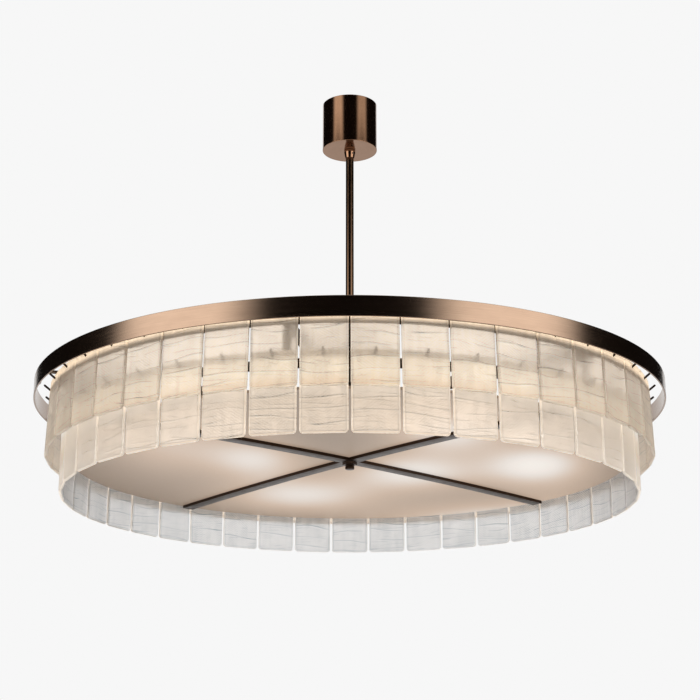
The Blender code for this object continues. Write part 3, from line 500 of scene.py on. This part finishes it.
def ring_tree():
    """Geometry nodes that set copies of a shape round the stem, each a little askew and with waves."""
    tree = bpy.data.node_groups.new("ring_of_copies", "GeometryNodeTree")
    wanted = (("Shape", "Geometry"), ("Copies", "Int"), ("First Turn", "Float"), ("Swing", "Float"),
              ("Hanging Point", "Vector"), ("Wave Height", "Float"), ("Wave Length", "Float"),
              ("Seed", "Int"), ("Finish", "Material"))
    for name, kind in wanted:
        tree.interface.new_socket(name, in_out="INPUT", socket_type="NodeSocket" + kind)
    tree.interface.new_socket("Copies Round", in_out="OUTPUT", socket_type="NodeSocketGeometry")
    given = add(tree, "NodeGroupInput").outputs

    spots = add(tree, "GeometryNodePoints", {"Count": given["Copies"]})
    copies = add(tree, "GeometryNodeInstanceOnPoints", {"Points": spots, "Instance": given["Shape"]})
    least = maths(tree, "MULTIPLY", given["Swing"], -1.0)
    swing = add(tree, "FunctionNodeRandomValue", {2: least, 3: given["Swing"], "Seed": given["Seed"]},
                data_type="FLOAT")
    swung = add(tree, "ShaderNodeCombineXYZ", {"X": swing.outputs[1]})
    swung = add(tree, "FunctionNodeEulerToRotation", {"Euler": swung})
    hung = add(tree, "GeometryNodeRotateInstances", {"Instances": copies, "Rotation": swung,
                                                     "Pivot Point": given["Hanging Point"]})
    index = add(tree, "GeometryNodeInputIndex")
    pitch = maths(tree, "DIVIDE", 2 * math.pi, given["Copies"])
    turn = maths(tree, "MULTIPLY_ADD", index, pitch, given["First Turn"])
    turn = add(tree, "ShaderNodeCombineXYZ", {"Z": turn})
    turn = add(tree, "FunctionNodeEulerToRotation", {"Euler": turn})
    placed = add(tree, "GeometryNodeRotateInstances", {"Instances": hung, "Rotation": turn,
                                                       "Local Space": False})
    number = add(tree, "FunctionNodeRandomValue", {"Seed": given["Seed"]}, data_type="FLOAT")
    marked = add(tree, "GeometryNodeStoreNamedAttribute", {"Geometry": placed, "Name": "cast"},
                 data_type="FLOAT", domain="INSTANCE")
    tree.links.new(number.outputs[1], next(s for s in marked.inputs if s.name == "Value" and s.enabled))
    made = add(tree, "GeometryNodeRealizeInstances", {"Geometry": marked})

    place = add(tree, "GeometryNodeInputPosition")
    finer = vector_maths(tree, "DIVIDE", place, given["Wave Length"])
    waves = add(tree, "ShaderNodeTexNoise", {"Vector": finer, "Scale": 1, "Detail": 1})
    waves = maths(tree, "SUBTRACT", waves, 0.5)
    crown = add(tree, "GeometryNodeInputNamedAttribute", {"Name": "crown"}, data_type="FLOAT")
    waves = maths(tree, "MULTIPLY", maths(tree, "MULTIPLY", waves, crown), given["Wave Height"])
    outward = add(tree, "GeometryNodeInputNormal")
    lift = vector_maths(tree, "MULTIPLY", outward, waves)
    waved = add(tree, "GeometryNodeSetPosition", {"Geometry": made, "Offset": lift})
    finished = add(tree, "GeometryNodeSetMaterial", {"Geometry": waved, "Material": given["Finish"]})
    add(tree, "NodeGroupOutput", {0: finished})
    return tree


RING_TREE = ring_tree()


def set_round(shape, copies, first_turn, **values):
    """Sets copies of an object round the stem and leaves one plain mesh."""
    ring = shape.modifiers.new("ring", "NODES")
    ring.node_group = RING_TREE
    values.update({"Copies": copies, "First Turn": first_turn, "Finish": shape.data.materials[0]})
    values.setdefault("Wave Length", 1.0)
    for socket in RING_TREE.interface.items_tree:
        if socket.in_out == "INPUT" and socket.name in values:
            ring[socket.identifier] = values[socket.name]
    bpy.context.view_layer.update()
    result = bpy.data.meshes.new_from_object(shape.evaluated_get(bpy.context.evaluated_depsgraph_get()))
    shape.modifiers.remove(ring)
    old = shape.data
    shape.data = result
    bpy.data.meshes.remove(old)
    return shape


def tile_outline(height, inset):
    """A tile's outline about its hole, drawn in by the inset, with points along its sides."""
    half = TILE_WIDTH / 2
    top, foot = TILE_HOLE_DROP, TILE_HOLE_DROP - height
    corners = ((1, top, TILE_TOP_CORNER, 0), (-1, top, TILE_TOP_CORNER, 1),
               (-1, foot, TILE_FOOT_CORNER, 2), (1, foot, TILE_FOOT_CORNER, 3))
    points = []
    for side, end, radius, quarter in corners:
        y = side * (half - radius)
        z = end - radius if end == top else end + radius
        reach = radius - inset
        for step in range(TILE_CORNER_STEPS + 1):
            angle = math.pi / 2 * (quarter + step / TILE_CORNER_STEPS)
            points.append(Vector((y + reach * math.cos(angle), z + reach * math.sin(angle))))
    dense = []
    for index, point in enumerate(points):
        dense.append(point)
        following = points[(index + 1) % len(points)]
        if (index + 1) % (TILE_CORNER_STEPS + 1) == 0:
            steps = TILE_SIDE_STEPS if index // (TILE_CORNER_STEPS + 1) % 2 == 0 else TILE_HEIGHT_STEPS
            dense += [point.lerp(following, step / steps) for step in range(1, steps)]
    return dense


def inside_outline(y, z, height):
    """How far a point of the tile lies inside its outline."""
    middle = TILE_HOLE_DROP - height / 2
    radius = TILE_TOP_CORNER if z > middle else TILE_FOOT_CORNER
    across = abs(y) - TILE_WIDTH / 2 + radius
    along = abs(z - middle) - height / 2 + radius
    return radius - math.hypot(max(across, 0), max(along, 0)) - min(max(across, along), 0)


def tile_shape(name, row, radius, height, lean, top):
    """One cast tile with a fully rounded rim and a slanting hole, where it hangs on the stem's +X side."""
    half = TILE_THICKNESS / 2
    bm = bmesh.new()
    middle = Vector((0, TILE_HOLE_DROP - height / 2))
    flat = tile_outline(height, TILE_FACE_INSETS[-1])
    face = [[middle.lerp(point, share) for point in flat] for share in TILE_FACE_RINGS]
    face = [tile_outline(height, inset) for inset in TILE_FACE_INSETS] + face
    sections = [(-half, outline) for outline in reversed(face)]
    for step in range(TILE_RIM_STEPS + 1):
        angle = math.pi * (step / TILE_RIM_STEPS - 0.5)
        sections.append((half * math.sin(angle), tile_outline(height, half * (1 - math.cos(angle)))))
    sections += [(half, outline) for outline in face]
    rings = [[bm.verts.new((x, y, z)) for y, z in outline] for x, outline in sections]
    for ring, following in zip(rings, rings[1:]):
        for index in range(len(ring)):
            after = (index + 1) % len(ring)
            bm.faces.new((ring[index], ring[after], following[after], following[index]))
    for ring, side in ((rings[0], -half), (rings[-1], half)):
        centre = bm.verts.new((side, middle.x, middle.y))
        for index in range(len(ring)):
            bm.faces.new((ring[index], ring[(index + 1) % len(ring)], centre))
    tile = make_object(name, bm, GLASS)

    direction = Vector((math.cos(PIN_RISE), 0, math.sin(PIN_RISE)))
    drill = bmesh.new()
    bmesh.ops.create_cone(drill, segments=SMALL_STEPS // 2, radius1=PIN_RADIUS + 0.4 * MM,
                          radius2=PIN_RADIUS + 0.4 * MM, depth=4 * TILE_THICKNESS, cap_ends=True)
    rolled_out(drill, direction.to_track_quat("Z", "Y").to_matrix().to_4x4())
    drill = make_object("drill", drill, GLASS)
    cut = tile.modifiers.new("hole", "BOOLEAN")
    cut.operation = "DIFFERENCE"
    cut.solver = "EXACT"
    cut.object = drill
    bpy.context.view_layer.update()
    mesh = bpy.data.meshes.new_from_object(tile.evaluated_get(bpy.context.evaluated_depsgraph_get()))
    tile.modifiers.clear()
    tile.data = mesh
    bpy.data.objects.remove(drill)

    mesh.attributes.new("on_tile", "FLOAT_VECTOR", "POINT")
    words = ("crown", "edge", "outer", "row")
    for word in words:
        mesh.attributes.new(word, "FLOAT", "POINT")
    on_tile = mesh.attributes["on_tile"].data
    crown, edge, outer, in_row = (mesh.attributes[word].data for word in words)
    clear = 2.5 * PIN_RADIUS
    for index, vertex in enumerate(mesh.vertices):
        x, y, z = vertex.co
        on_tile[index].vector = (y, TILE_HOLE_DROP - z, 0)
        inset = inside_outline(y, z, height)
        from_hole = math.hypot(y, z) - clear
        crown[index].value = min(1, max(0, min(inset - half, from_hole) / (8 * MM)))
        edge[index].value = inset
        outer[index].value = min(1, max(0, 1 + 2 * x / half))
        in_row[index].value = row
    middle_radius = radius - half
    hole = Vector((middle_radius - (height / 2 - TILE_HOLE_DROP) * math.sin(lean), 0, top - TILE_HOLE_DROP))
    mesh.transform(Matrix.Translation(hole) @ Matrix.Rotation(-lean, 4, "Y"))
    return tile, hole


def pin_shape(name, hole):
    """A round pin with a domed end, rising outwards through the tile's hole, with a weld bead at the rail."""
    outer = hole.x - TILE_THICKNESS / 2 - TILE_BACK_GAP
    root = (hole.x - outer + RAIL_THICKNESS / 2) / math.cos(PIN_RISE)
    quarter = [math.pi / 2 * step / DOME_STEPS for step in range(DOME_STEPS)]
    dome = [(PIN_RADIUS * math.cos(a), PIN_REACH - PIN_RADIUS * (1 - math.sin(a))) for a in quarter]
    bead = 1.5 * MM / math.cos(PIN_RISE)
    weld = [(PIN_RADIUS + 0.9 * MM, bead - root), (PIN_RADIUS + 0.5 * MM, 2 * bead - root),
            (PIN_RADIUS, 2.6 * bead - root)]
    profile = [(0, -root), (PIN_RADIUS, -root)] + weld + dome + [(0, PIN_REACH)]
    direction = Vector((math.cos(PIN_RISE), 0, math.sin(PIN_RISE)))
    bm = turned(profile, SMALL_STEPS // 3, closed=False)
    rolled_out(bm, Matrix.Translation(hole) @ direction.to_track_quat("Z", "Y").to_matrix().to_4x4())
    return make_object(name, bm, DARK_BRONZE)


def rail_shape(name, tiles, radius, foot, top):
    """A flat hoop in arcs, with a fine joint between each two."""
    bm = bmesh.new()
    section = square_ring(radius - RAIL_THICKNESS, radius, foot, top, 0.5 * MM, 2)
    pitch = 2 * math.pi / tiles
    first = round((ARM_PHASE - math.pi / ARM_COUNT - FRONT) / pitch)
    joint = RAIL_JOINT_GAP / 2 / radius
    for arc in range(TIER_ARCS):
        count = tiles // TIER_ARCS + (arc < tiles % TIER_ARCS)
        start, end = FRONT + first * pitch + joint, FRONT + (first + count) * pitch - joint
        steps = count * RAIL_STEPS
        rings = []
        for step in range(steps + 1):
            angle = start + (end - start) * step / steps
            rings.append([bm.verts.new((r * math.cos(angle), r * math.sin(angle), z)) for r, z in section])
        for ring, following in zip(rings, rings[1:]):
            for index in range(len(ring)):
                after = (index + 1) % len(ring)
                bm.faces.new((ring[index], ring[after], following[after], following[index]))
        bm.faces.new(rings[0])
        bm.faces.new(rings[-1])
        first += count
    return make_object(name, bm, DARK_BRONZE)


def make_tier(word, row, tiles, radius, height, lean, top, rail, seed):
    """A tier of tiles with its pins and its rail."""
    tile, hole = tile_shape(f"{word}_tiles", row, radius, height, lean, top)
    first_turn = FRONT + math.pi / tiles
    hung = {"Swing": TILE_SWING, "Hanging Point": tuple(hole), "Seed": seed,
            "Wave Height": TILE_WAVE_HEIGHT, "Wave Length": TILE_WAVE_LENGTH}
    set_round(tile, tiles, first_turn, **hung)
    belongs(tile, "pendant", "cast_glass", *[f"{word}_tier_{arc + 1}" for arc in range(TIER_ARCS)])
    pins = set_round(pin_shape(f"{word}_pins", hole), tiles, first_turn)
    belongs(pins, "pendant", "dark_bronze")
    foot, rail_top = rail
    outer = hole.x - TILE_THICKNESS / 2 - TILE_BACK_GAP
    belongs(rail_shape(f"{word}_rail", tiles, outer, foot, rail_top), "pendant", "dark_bronze")


def square_ring(inner, outer, foot, top, edge, steps=EDGE_STEPS):
    """The profile of a ring or a tube with slightly rounded corners."""
    return rounded([(inner, foot), (outer, foot), (outer, top), (inner, top)], edge, steps)


def make_band():
    """The outer hoop of brushed bronze."""
    low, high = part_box("outer_band")
    profile = square_ring(high.x - BAND_THICKNESS, high.x, low.z, high.z, 0.7 * MM)
    belongs(make_object("bronze_band", turned(profile), BAND_BRONZE), "pendant", "bronze", "outer_band")


def make_canopy():
    """The canopy's cup, its collar and the collar's screw."""
    low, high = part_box("canopy_cup")
    radius, wall, hole = high.x, 1.5 * MM, 9.5 * MM
    profile = [(hole, low.z), (radius, low.z), (radius, high.z), (radius - wall, high.z),
               (radius - wall, low.z + wall), (hole, low.z + wall)]
    cup = make_object("canopy", turned(rounded(profile, 0.7 * MM)), CANOPY_BRONZE)
    belongs(cup, "canopy", "bronze", "canopy_cup")

    low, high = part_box("canopy_collar")
    bore, foot_radius, top_radius, rim = 8.3 * MM, 9 * MM, high.x, 4 * MM
    profile = [(bore, low.z), (foot_radius, low.z), (top_radius, high.z - rim), (top_radius, high.z),
               (bore, high.z)]
    collar = make_object("collar", turned(rounded(profile, 0.3 * MM), SMALL_STEPS * 2), CANOPY_BRONZE)
    belongs(collar, "canopy", "bronze", "canopy_collar")

    height, turn = (low.z + high.z) / 2, math.radians(-57)
    radius, start, end = 1.4 * MM, 8.5 * MM, 12.1 * MM
    socket, deep = 0.75 * MM, 1.6 * MM
    profile = [(0, start), (radius, start), (radius, end - 0.2 * MM), (radius - 0.2 * MM, end), (socket, end),
               (socket, end - deep), (0, end - deep)]
    out = Matrix.Rotation(turn, 4, "Z") @ Matrix.Rotation(math.pi / 2, 4, "Y")
    out = Matrix.Translation((0, 0, height)) @ out
    screw = make_object("grub_screw", rolled_out(turned(profile, 12, closed=False), out), ZINC)
    belongs(screw, "canopy", "zinc_steel", "collar_screw")


def make_stem():
    """The stem's tube and the drum at its foot."""
    low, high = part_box("stem_tube")
    profile = square_ring(STEM_BORE, STEM_RADIUS, low.z, high.z, 0.3 * MM)
    tube = make_object("stem", turned(profile, SMALL_STEPS * 2), STEM_BRONZE)
    belongs(tube, "pendant", "bronze", "stem_tube")

    for part, bore, edge in (("cap", 8.3 * MM, 0.8), ("wall", None, 0.4), ("cover", 5.3 * MM, 0.5)):
        low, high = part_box(f"hub_{part}")
        profile = square_ring(bore or high.x - DRUM_WALL, high.x, low.z, high.z, edge * MM)
        drum = make_object(f"drum_{part}", turned(profile, SMALL_STEPS * 3), DARK_BRONZE)
        belongs(drum, "pendant", "dark_bronze", f"hub_{part}")


def make_frame_pieces():
    """The flat bars and small fittings, with their corners rounded."""
    bars = (("spider_arm", "arm", 0.6), ("drop_strut", "strut", 0.5), ("band_bracket", "bracket", 0.5))
    pieces = [(f"{node}_{n}", f"{name}_{n}", "pendant", "dark_bronze", edge)
              for node, name, edge in bars for n in range(1, ARM_COUNT + 1)]
    pieces += [("stem_eye", "eye", "pendant", "bronze", 0.4),
               ("stem_locknut", "drum_nut", "pendant", "zinc_steel", 0.4),
               ("rod_locknut", "rod_nut", "pendant", "zinc_steel", 0.4),
               ("ceiling_plate", "plate", "ceiling_mount", "zinc_steel", 0.4),
               ("hanger_bolt", "bolt", "ceiling_mount", "zinc_steel", 0.3),
               ("hanger_nut", "bolt_nut", "ceiling_mount", "zinc_steel", 0.3),
               ("terminal_block", "terminals", "ceiling_mount", "porcelain", 0.6)]
    finishes = {"dark_bronze": DARK_BRONZE, "bronze": STEM_BRONZE, "zinc_steel": ZINC, "porcelain": PORCELAIN}
    for node, name, body, slot, edge in pieces:
        belongs(make_object(name, softened(node, edge * MM), finishes[slot]), body, slot, node)


def make_lamps():
    """Six lamp holders on bent strips, and their bulbs, each pointing outwards under its arm."""
    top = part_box("spider_arm_1")[0].z - SEAT_GAP
    strip, width, length, margin = 2 * MM, 18 * MM, 28 * MM, 4 * MM
    leg = LAMP_HEIGHT - HOLDER_RADIUS - margin
    outline = [(LAMP_START - length, top), (LAMP_START - length, top - strip),
               (LAMP_START - strip, top - strip), (LAMP_START - strip, leg), (LAMP_START, leg),
               (LAMP_START, top)]
    nodes = range(1, ARM_COUNT + 1)
    strips = make_object("lamp_strips", prism(outline, width, 0.4 * MM), ZINC)
    belongs(set_round(strips, ARM_COUNT, ARM_PHASE), "pendant", "zinc_steel")

    along = Matrix.Translation((LAMP_START, 0, LAMP_HEIGHT)) @ Matrix.Rotation(math.pi / 2, 4, "Y")
    bore, floor = BULB_CAP_RADIUS + 0.6 * MM, HOLDER_LENGTH - BULB_CAP_LENGTH - SEAT_GAP
    lip = HOLDER_LENGTH - HOLDER_LIP_LENGTH
    groove = 1.2 * MM
    corners = [(HOLDER_RADIUS, 0), (HOLDER_RADIUS, lip - 12 * MM), (HOLDER_RADIUS - groove, lip - 11 * MM),
               (HOLDER_RADIUS - groove, lip - 9 * MM), (HOLDER_RADIUS, lip - 8 * MM), (HOLDER_RADIUS, lip),
               (HOLDER_LIP_RADIUS, lip), (HOLDER_LIP_RADIUS, HOLDER_LENGTH), (bore, HOLDER_LENGTH),
               (bore, floor), (0.5 * MM, floor), (0.5 * MM, 0)]
    barrel = rolled_out(turned(rounded(corners, 0.8 * MM), SMALL_STEPS), along)
    barrels = set_round(make_object("lamp_holders", barrel, PORCELAIN), ARM_COUNT, ARM_PHASE)
    belongs(barrels, "pendant", "porcelain", *[f"lamp_holder_{n}" for n in nodes])

    # The screw cap, with a round thread
    turns, cap_foot = 5, floor + SEAT_GAP
    cap = [(0, cap_foot), (BULB_CAP_RADIUS * 0.6, cap_foot), (BULB_CAP_RADIUS - 0.8 * MM, cap_foot + 2 * MM)]
    for step in range(turns * 6 + 1):
        wave = math.cos(2 * math.pi * step / 6) * 0.35 * MM
        cap.append((BULB_CAP_RADIUS - 0.5 * MM + wave, cap_foot + 2.5 * MM + step * 3 * MM / 6))
    cap += [(BULB_CAP_RADIUS - 0.4 * MM, cap_foot + BULB_CAP_LENGTH), (0, cap_foot + BULB_CAP_LENGTH)]
    caps = make_object("bulb_caps", rolled_out(turned(cap, SMALL_STEPS, closed=False), along), NICKEL)
    belongs(set_round(caps, ARM_COUNT, ARM_PHASE), "pendant", "frosted_bulb")

    tip = cap_foot + BULB_LENGTH
    middle = tip - BULB_GLOBE_RADIUS
    first = math.asin(BULB_NECK_RADIUS / BULB_GLOBE_RADIUS)
    collar = cap_foot + BULB_CAP_LENGTH + SEAT_GAP
    globe = [(0, collar), (BULB_CAP_RADIUS, collar), (BULB_NECK_RADIUS - 0.6 * MM, collar + 3 * MM)]
    steps = 18
    for step in range(steps):
        angle = first + (math.pi - first) * step / steps
        globe.append((BULB_GLOBE_RADIUS * math.sin(angle), middle - BULB_GLOBE_RADIUS * math.cos(angle)))
    globe.append((0, tip))
    globes = make_object("bulbs", rolled_out(turned(globe, SMALL_STEPS, closed=False), along), BULB)
    belongs(set_round(globes, ARM_COUNT, ARM_PHASE), "pendant", "frosted_bulb", *[f"bulb_{n}" for n in nodes])


def make_bracket_screws():
    """A pan-head screw through each bracket into its arm."""
    low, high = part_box("spider_arm_1")
    reach = math.hypot(low.x, low.y)
    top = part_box("band_bracket_1")[1].z
    radius, dome = 3.4 * MM, 2.2 * MM
    head = [(0, 0), (radius, 0), (radius, dome * 0.35)]
    quarter = [math.pi / 2 * step / 5 for step in range(1, 5)]
    head += [(radius * math.cos(a), dome * (0.35 + 0.65 * math.sin(a))) for a in quarter]
    head += [(1.1 * MM, dome), (1.1 * MM, dome * 0.4), (0, dome * 0.4)]
    seat = Matrix.Translation((reach - 11 * MM, 0, top))
    screw = rolled_out(turned(head, SMALL_STEPS // 2, closed=False), seat)
    screws = make_object("bracket_screws", screw, DARK_BRONZE)
    belongs(set_round(screws, ARM_COUNT, ARM_PHASE), "pendant", "dark_bronze")


def drawn_up(radius):
    """How far the nut and the rod draw the cross and the disc up at this distance from the stem."""
    return MIDDLE_RISE - RISE_FALL * radius ** 2


def make_diffuser():
    """The opal disc, the cross that carries it, the rod and the finial."""
    low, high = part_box("diffuser_disc")
    bore, edge = 6 * MM, 1 * MM
    radii = [bore + (high.x - edge - bore) * step / DISC_RINGS for step in range(DISC_RINGS + 1)]
    under = [(radius, low.z + drawn_up(radius)) for radius in radii]
    over = [(radius, high.z + drawn_up(radius)) for radius in reversed(radii)]
    rim = [(high.x, side + drawn_up(high.x)) for side in (low.z + edge, high.z - edge)]
    disc = make_object("opal_disc", turned(under + rim + over), OPAL)
    belongs(disc, "diffuser", "opal_diffuser", "diffuser_disc")

    bars = softened("diffuser_cross", 0.5 * MM)
    reach = high.x / BAR_STEPS
    for step in range(1, BAR_STEPS):
        for quarter in range(4):
            along = Matrix.Rotation(CROSS_TURN + quarter * math.pi / 2, 3, "Z") @ Vector((1, 0, 0))
            bmesh.ops.bisect_plane(bars, geom=bars.verts[:] + bars.edges[:] + bars.faces[:],
                                   plane_co=along * reach * step, plane_no=along)
    for vertex in bars.verts:
        vertex.co.z += drawn_up(vertex.co.xy.length)
    cross = make_object("cross", bars, DARK_BRONZE)
    belongs(cross, "diffuser", "dark_bronze", "diffuser_cross")

    low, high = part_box("centre_rod")
    head_radius, head, foot = high.x, 6 * MM, low.z + MIDDLE_RISE
    profile = [(0, foot), (4.6 * MM, foot), (ROD_RADIUS, foot + 0.4 * MM), (ROD_RADIUS, high.z - head),
               (head_radius, high.z - head), (head_radius, high.z - 1 * MM),
               (head_radius - 1 * MM, high.z), (0, high.z)]
    rod = make_object("rod", turned(profile, SMALL_STEPS, closed=False), DARK_BRONZE)
    belongs(rod, "pendant", "dark_bronze", "centre_rod")

    low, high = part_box("finial_nut")
    radius, bore, floor = high.x, 5.3 * MM, 2 * MM
    neck, foot, top = radius - 0.7 * MM, low.z + MIDDLE_RISE, high.z + MIDDLE_RISE
    profile = [(0, foot), (radius - 1.6 * MM, foot), (radius - 0.5 * MM, foot + 0.5 * MM),
               (radius, foot + 1.5 * MM), (radius, top - 3 * MM), (neck, top - 2.4 * MM),
               (neck, top - 1.8 * MM), (radius, top - 1.2 * MM), (radius, top), (bore, top),
               (bore, foot + floor), (0, foot + floor)]
    finial = make_object("finial", turned(profile, SMALL_STEPS, closed=False), DARK_BRONZE)
    belongs(finial, "finial", "dark_bronze", "finial_nut")


make_tier("upper", 0, UPPER_TILES, UPPER_TIER_RADIUS, UPPER_TILE_HEIGHT, UPPER_TILE_LEAN,
          UPPER_TILE_TOP, UPPER_RAIL, 5)
make_tier("lower", 1, LOWER_TILES, LOWER_TIER_RADIUS, LOWER_TILE_HEIGHT, 0, LOWER_TILE_TOP, LOWER_RAIL, 11)
make_band()
make_canopy()
make_stem()
make_frame_pieces()
make_lamps()
make_bracket_screws()
make_diffuser()


def make_stage():
    """A pale floor far below, and a dark wall of cloth all round that only the metal's reflections show."""
    floor = bpy.data.meshes.new("floor")
    size, height = 40, -6
    corners = ((-size, -size), (size, -size), (size, size), (-size, size))
    floor.from_pydata([(x, y, height) for x, y in corners], [], [(0, 1, 2, 3)])
    floor.materials.append(backdrop("floor_paper", 0.93, 0.85))
    floor = bpy.data.objects.new("floor", floor)
    bpy.context.scene.collection.objects.link(floor)

    # The cloth is open behind, where the metal shows the pale backdrop
    radius, foot, top, half = 7.0, -2.4, 6.0, math.radians(150)
    bm = bmesh.new()
    steps = 72
    angles = [FRONT + half * (2 * step / steps - 1) for step in range(steps + 1)]
    rings = [[bm.verts.new((radius * math.cos(a), radius * math.sin(a), z)) for a in angles]
             for z in (foot, top)]
    for step in range(steps):
        bm.faces.new((rings[0][step], rings[0][step + 1], rings[1][step + 1], rings[1][step]))
    material, tree, shader = blank_material("black_cloth")
    shader.inputs["Base Color"].default_value = linear("120A06")
    shader.inputs["Roughness"].default_value = 1
    cloth = make_object("black_cloth", bm, material)
    cloth.visible_camera = cloth.visible_diffuse = cloth.visible_transmission = cloth.visible_shadow = False


def seen_plainly(tree):
    """A node that gives 1 for what is seen, straight or in metal or glass, and 0 for light on the object."""
    path = add(tree, "ShaderNodeLightPath").outputs
    seen = maths(tree, "MAXIMUM", path["Is Camera Ray"], path["Is Glossy Ray"])
    return maths(tree, "MAXIMUM", seen, path["Is Transmission Ray"])


def backdrop(name, white, colour):
    """Paper that looks this white and sends back this share of the light."""
    material, tree, shader = blank_material(name)
    shader.inputs["Base Color"].default_value = (colour, colour, colour, 1)
    shader.inputs["Roughness"].default_value = 1
    plain = add(tree, "ShaderNodeEmission", {"Color": (white, white, white, 1), "Strength": 1})
    mixed = add(tree, "ShaderNodeMixShader", {0: seen_plainly(tree), 1: shader, 2: plain})
    tree.links.new(mixed.outputs[0], tree.nodes["Material Output"].inputs["Surface"])
    return material


def make_world():
    world = bpy.data.worlds.new("studio")
    world.use_nodes = True
    tree = world.node_tree
    sky = tree.nodes["Background"]
    white, fill = 0.93, 0.62
    level = add(tree, "ShaderNodeMapRange", {"Value": seen_plainly(tree), 3: fill, 4: white})
    tree.links.new(level.outputs[0], sky.inputs["Strength"])
    sky.inputs["Color"].default_value = (1, 1, 1, 1)
    bpy.context.scene.world = world


def soft_card(name, turn, half_width, foot, top, fade_below, fade_above, level):
    """A tall pale card that only the metal's reflections show, brightest in the middle."""
    distance, even = 3.4, half_width / 3
    angle = FRONT + math.radians(turn)
    out, aside = Vector((math.cos(angle), math.sin(angle), 0)), Vector((-math.sin(angle), math.cos(angle), 0))
    bm = bmesh.new()
    uv = bm.loops.layers.uv.new(UV_MAP)
    corners = [(-half_width, foot), (half_width, foot), (half_width, top), (-half_width, top)]
    face = bm.faces.new([bm.verts.new(out * distance + aside * x + Vector((0, 0, z))) for x, z in corners])
    for loop, corner in zip(face.loops, corners):
        loop[uv].uv = corner
    material, tree, shader = blank_material(name)
    spot = add(tree, "ShaderNodeSeparateXYZ", {0: add(tree, "ShaderNodeUVMap", uv_map=UV_MAP)}).outputs

    share = ramp(tree, maths(tree, "ABSOLUTE", spot["X"]), even, half_width, level, 0)
    share = maths(tree, "MULTIPLY", share, ramp(tree, spot["Y"], top - fade_above, top, 1, 0))
    share = maths(tree, "MULTIPLY", share, ramp(tree, spot["Y"], foot, foot + fade_below, 0, 1))
    light = add(tree, "ShaderNodeEmission", {"Color": linear("FFFAF4"), "Strength": share})
    tree.links.new(light.outputs[0], tree.nodes["Material Output"].inputs["Surface"])
    card = make_object(name, bm, material)
    card.visible_camera = card.visible_diffuse = card.visible_transmission = card.visible_shadow = False


def make_lights():
    """Tall cards in front, left and right, that the bronze shows, and a faint soft box over each shoulder."""
    # Each card: its name and turn, its half width, foot and top, how far it fades there, and its level
    soft_card("card_left", -56, 2.05, -0.9, 1.35, 0.2, 0.8, 2.6)
    soft_card("card_right", 53, 2.15, -0.9, 1.35, 0.2, 0.8, 2.6)
    soft_card("high_card_left", -50, 1.8, 1.44, 2.6, 0.05, 0.2, 1.7)
    soft_card("high_card_right", 53, 1.8, 1.44, 2.6, 0.05, 0.2, 1.2)
    aim, distance, size, power, rise = Vector((0, 0, -0.62)), 3.4, 2.4, 7, math.radians(20)
    for turn in (-50, 50):
        light = bpy.data.lights.new("soft_box", "AREA")
        light.size, light.energy = size, power
        light.color = linear("FFF8F0")[:3]
        angle = FRONT + math.radians(turn)
        away = Vector((math.cos(angle) * math.cos(rise), math.sin(angle) * math.cos(rise), math.sin(rise)))
        holder = bpy.data.objects.new(light.name, light)
        holder.location = aim + away * distance
        holder.rotation_euler = away.to_track_quat("Z", "Y").to_euler()
        holder.visible_glossy = False
        bpy.context.scene.collection.objects.link(holder)


def make_camera():
    camera = bpy.data.cameras.new("camera")
    camera.sensor_width = 36
    camera.lens = 83.35
    holder = bpy.data.objects.new("camera", camera)
    holder.location = (0.0005, -3.0235, -1.4545)
    holder.rotation_euler = (math.radians(90 + 17.09), 0, 0)
    bpy.context.scene.collection.objects.link(holder)
    bpy.context.scene.camera = holder


make_stage()
make_world()
make_lights()
make_camera()
bpy.context.scene.view_settings.view_transform = "Standard"
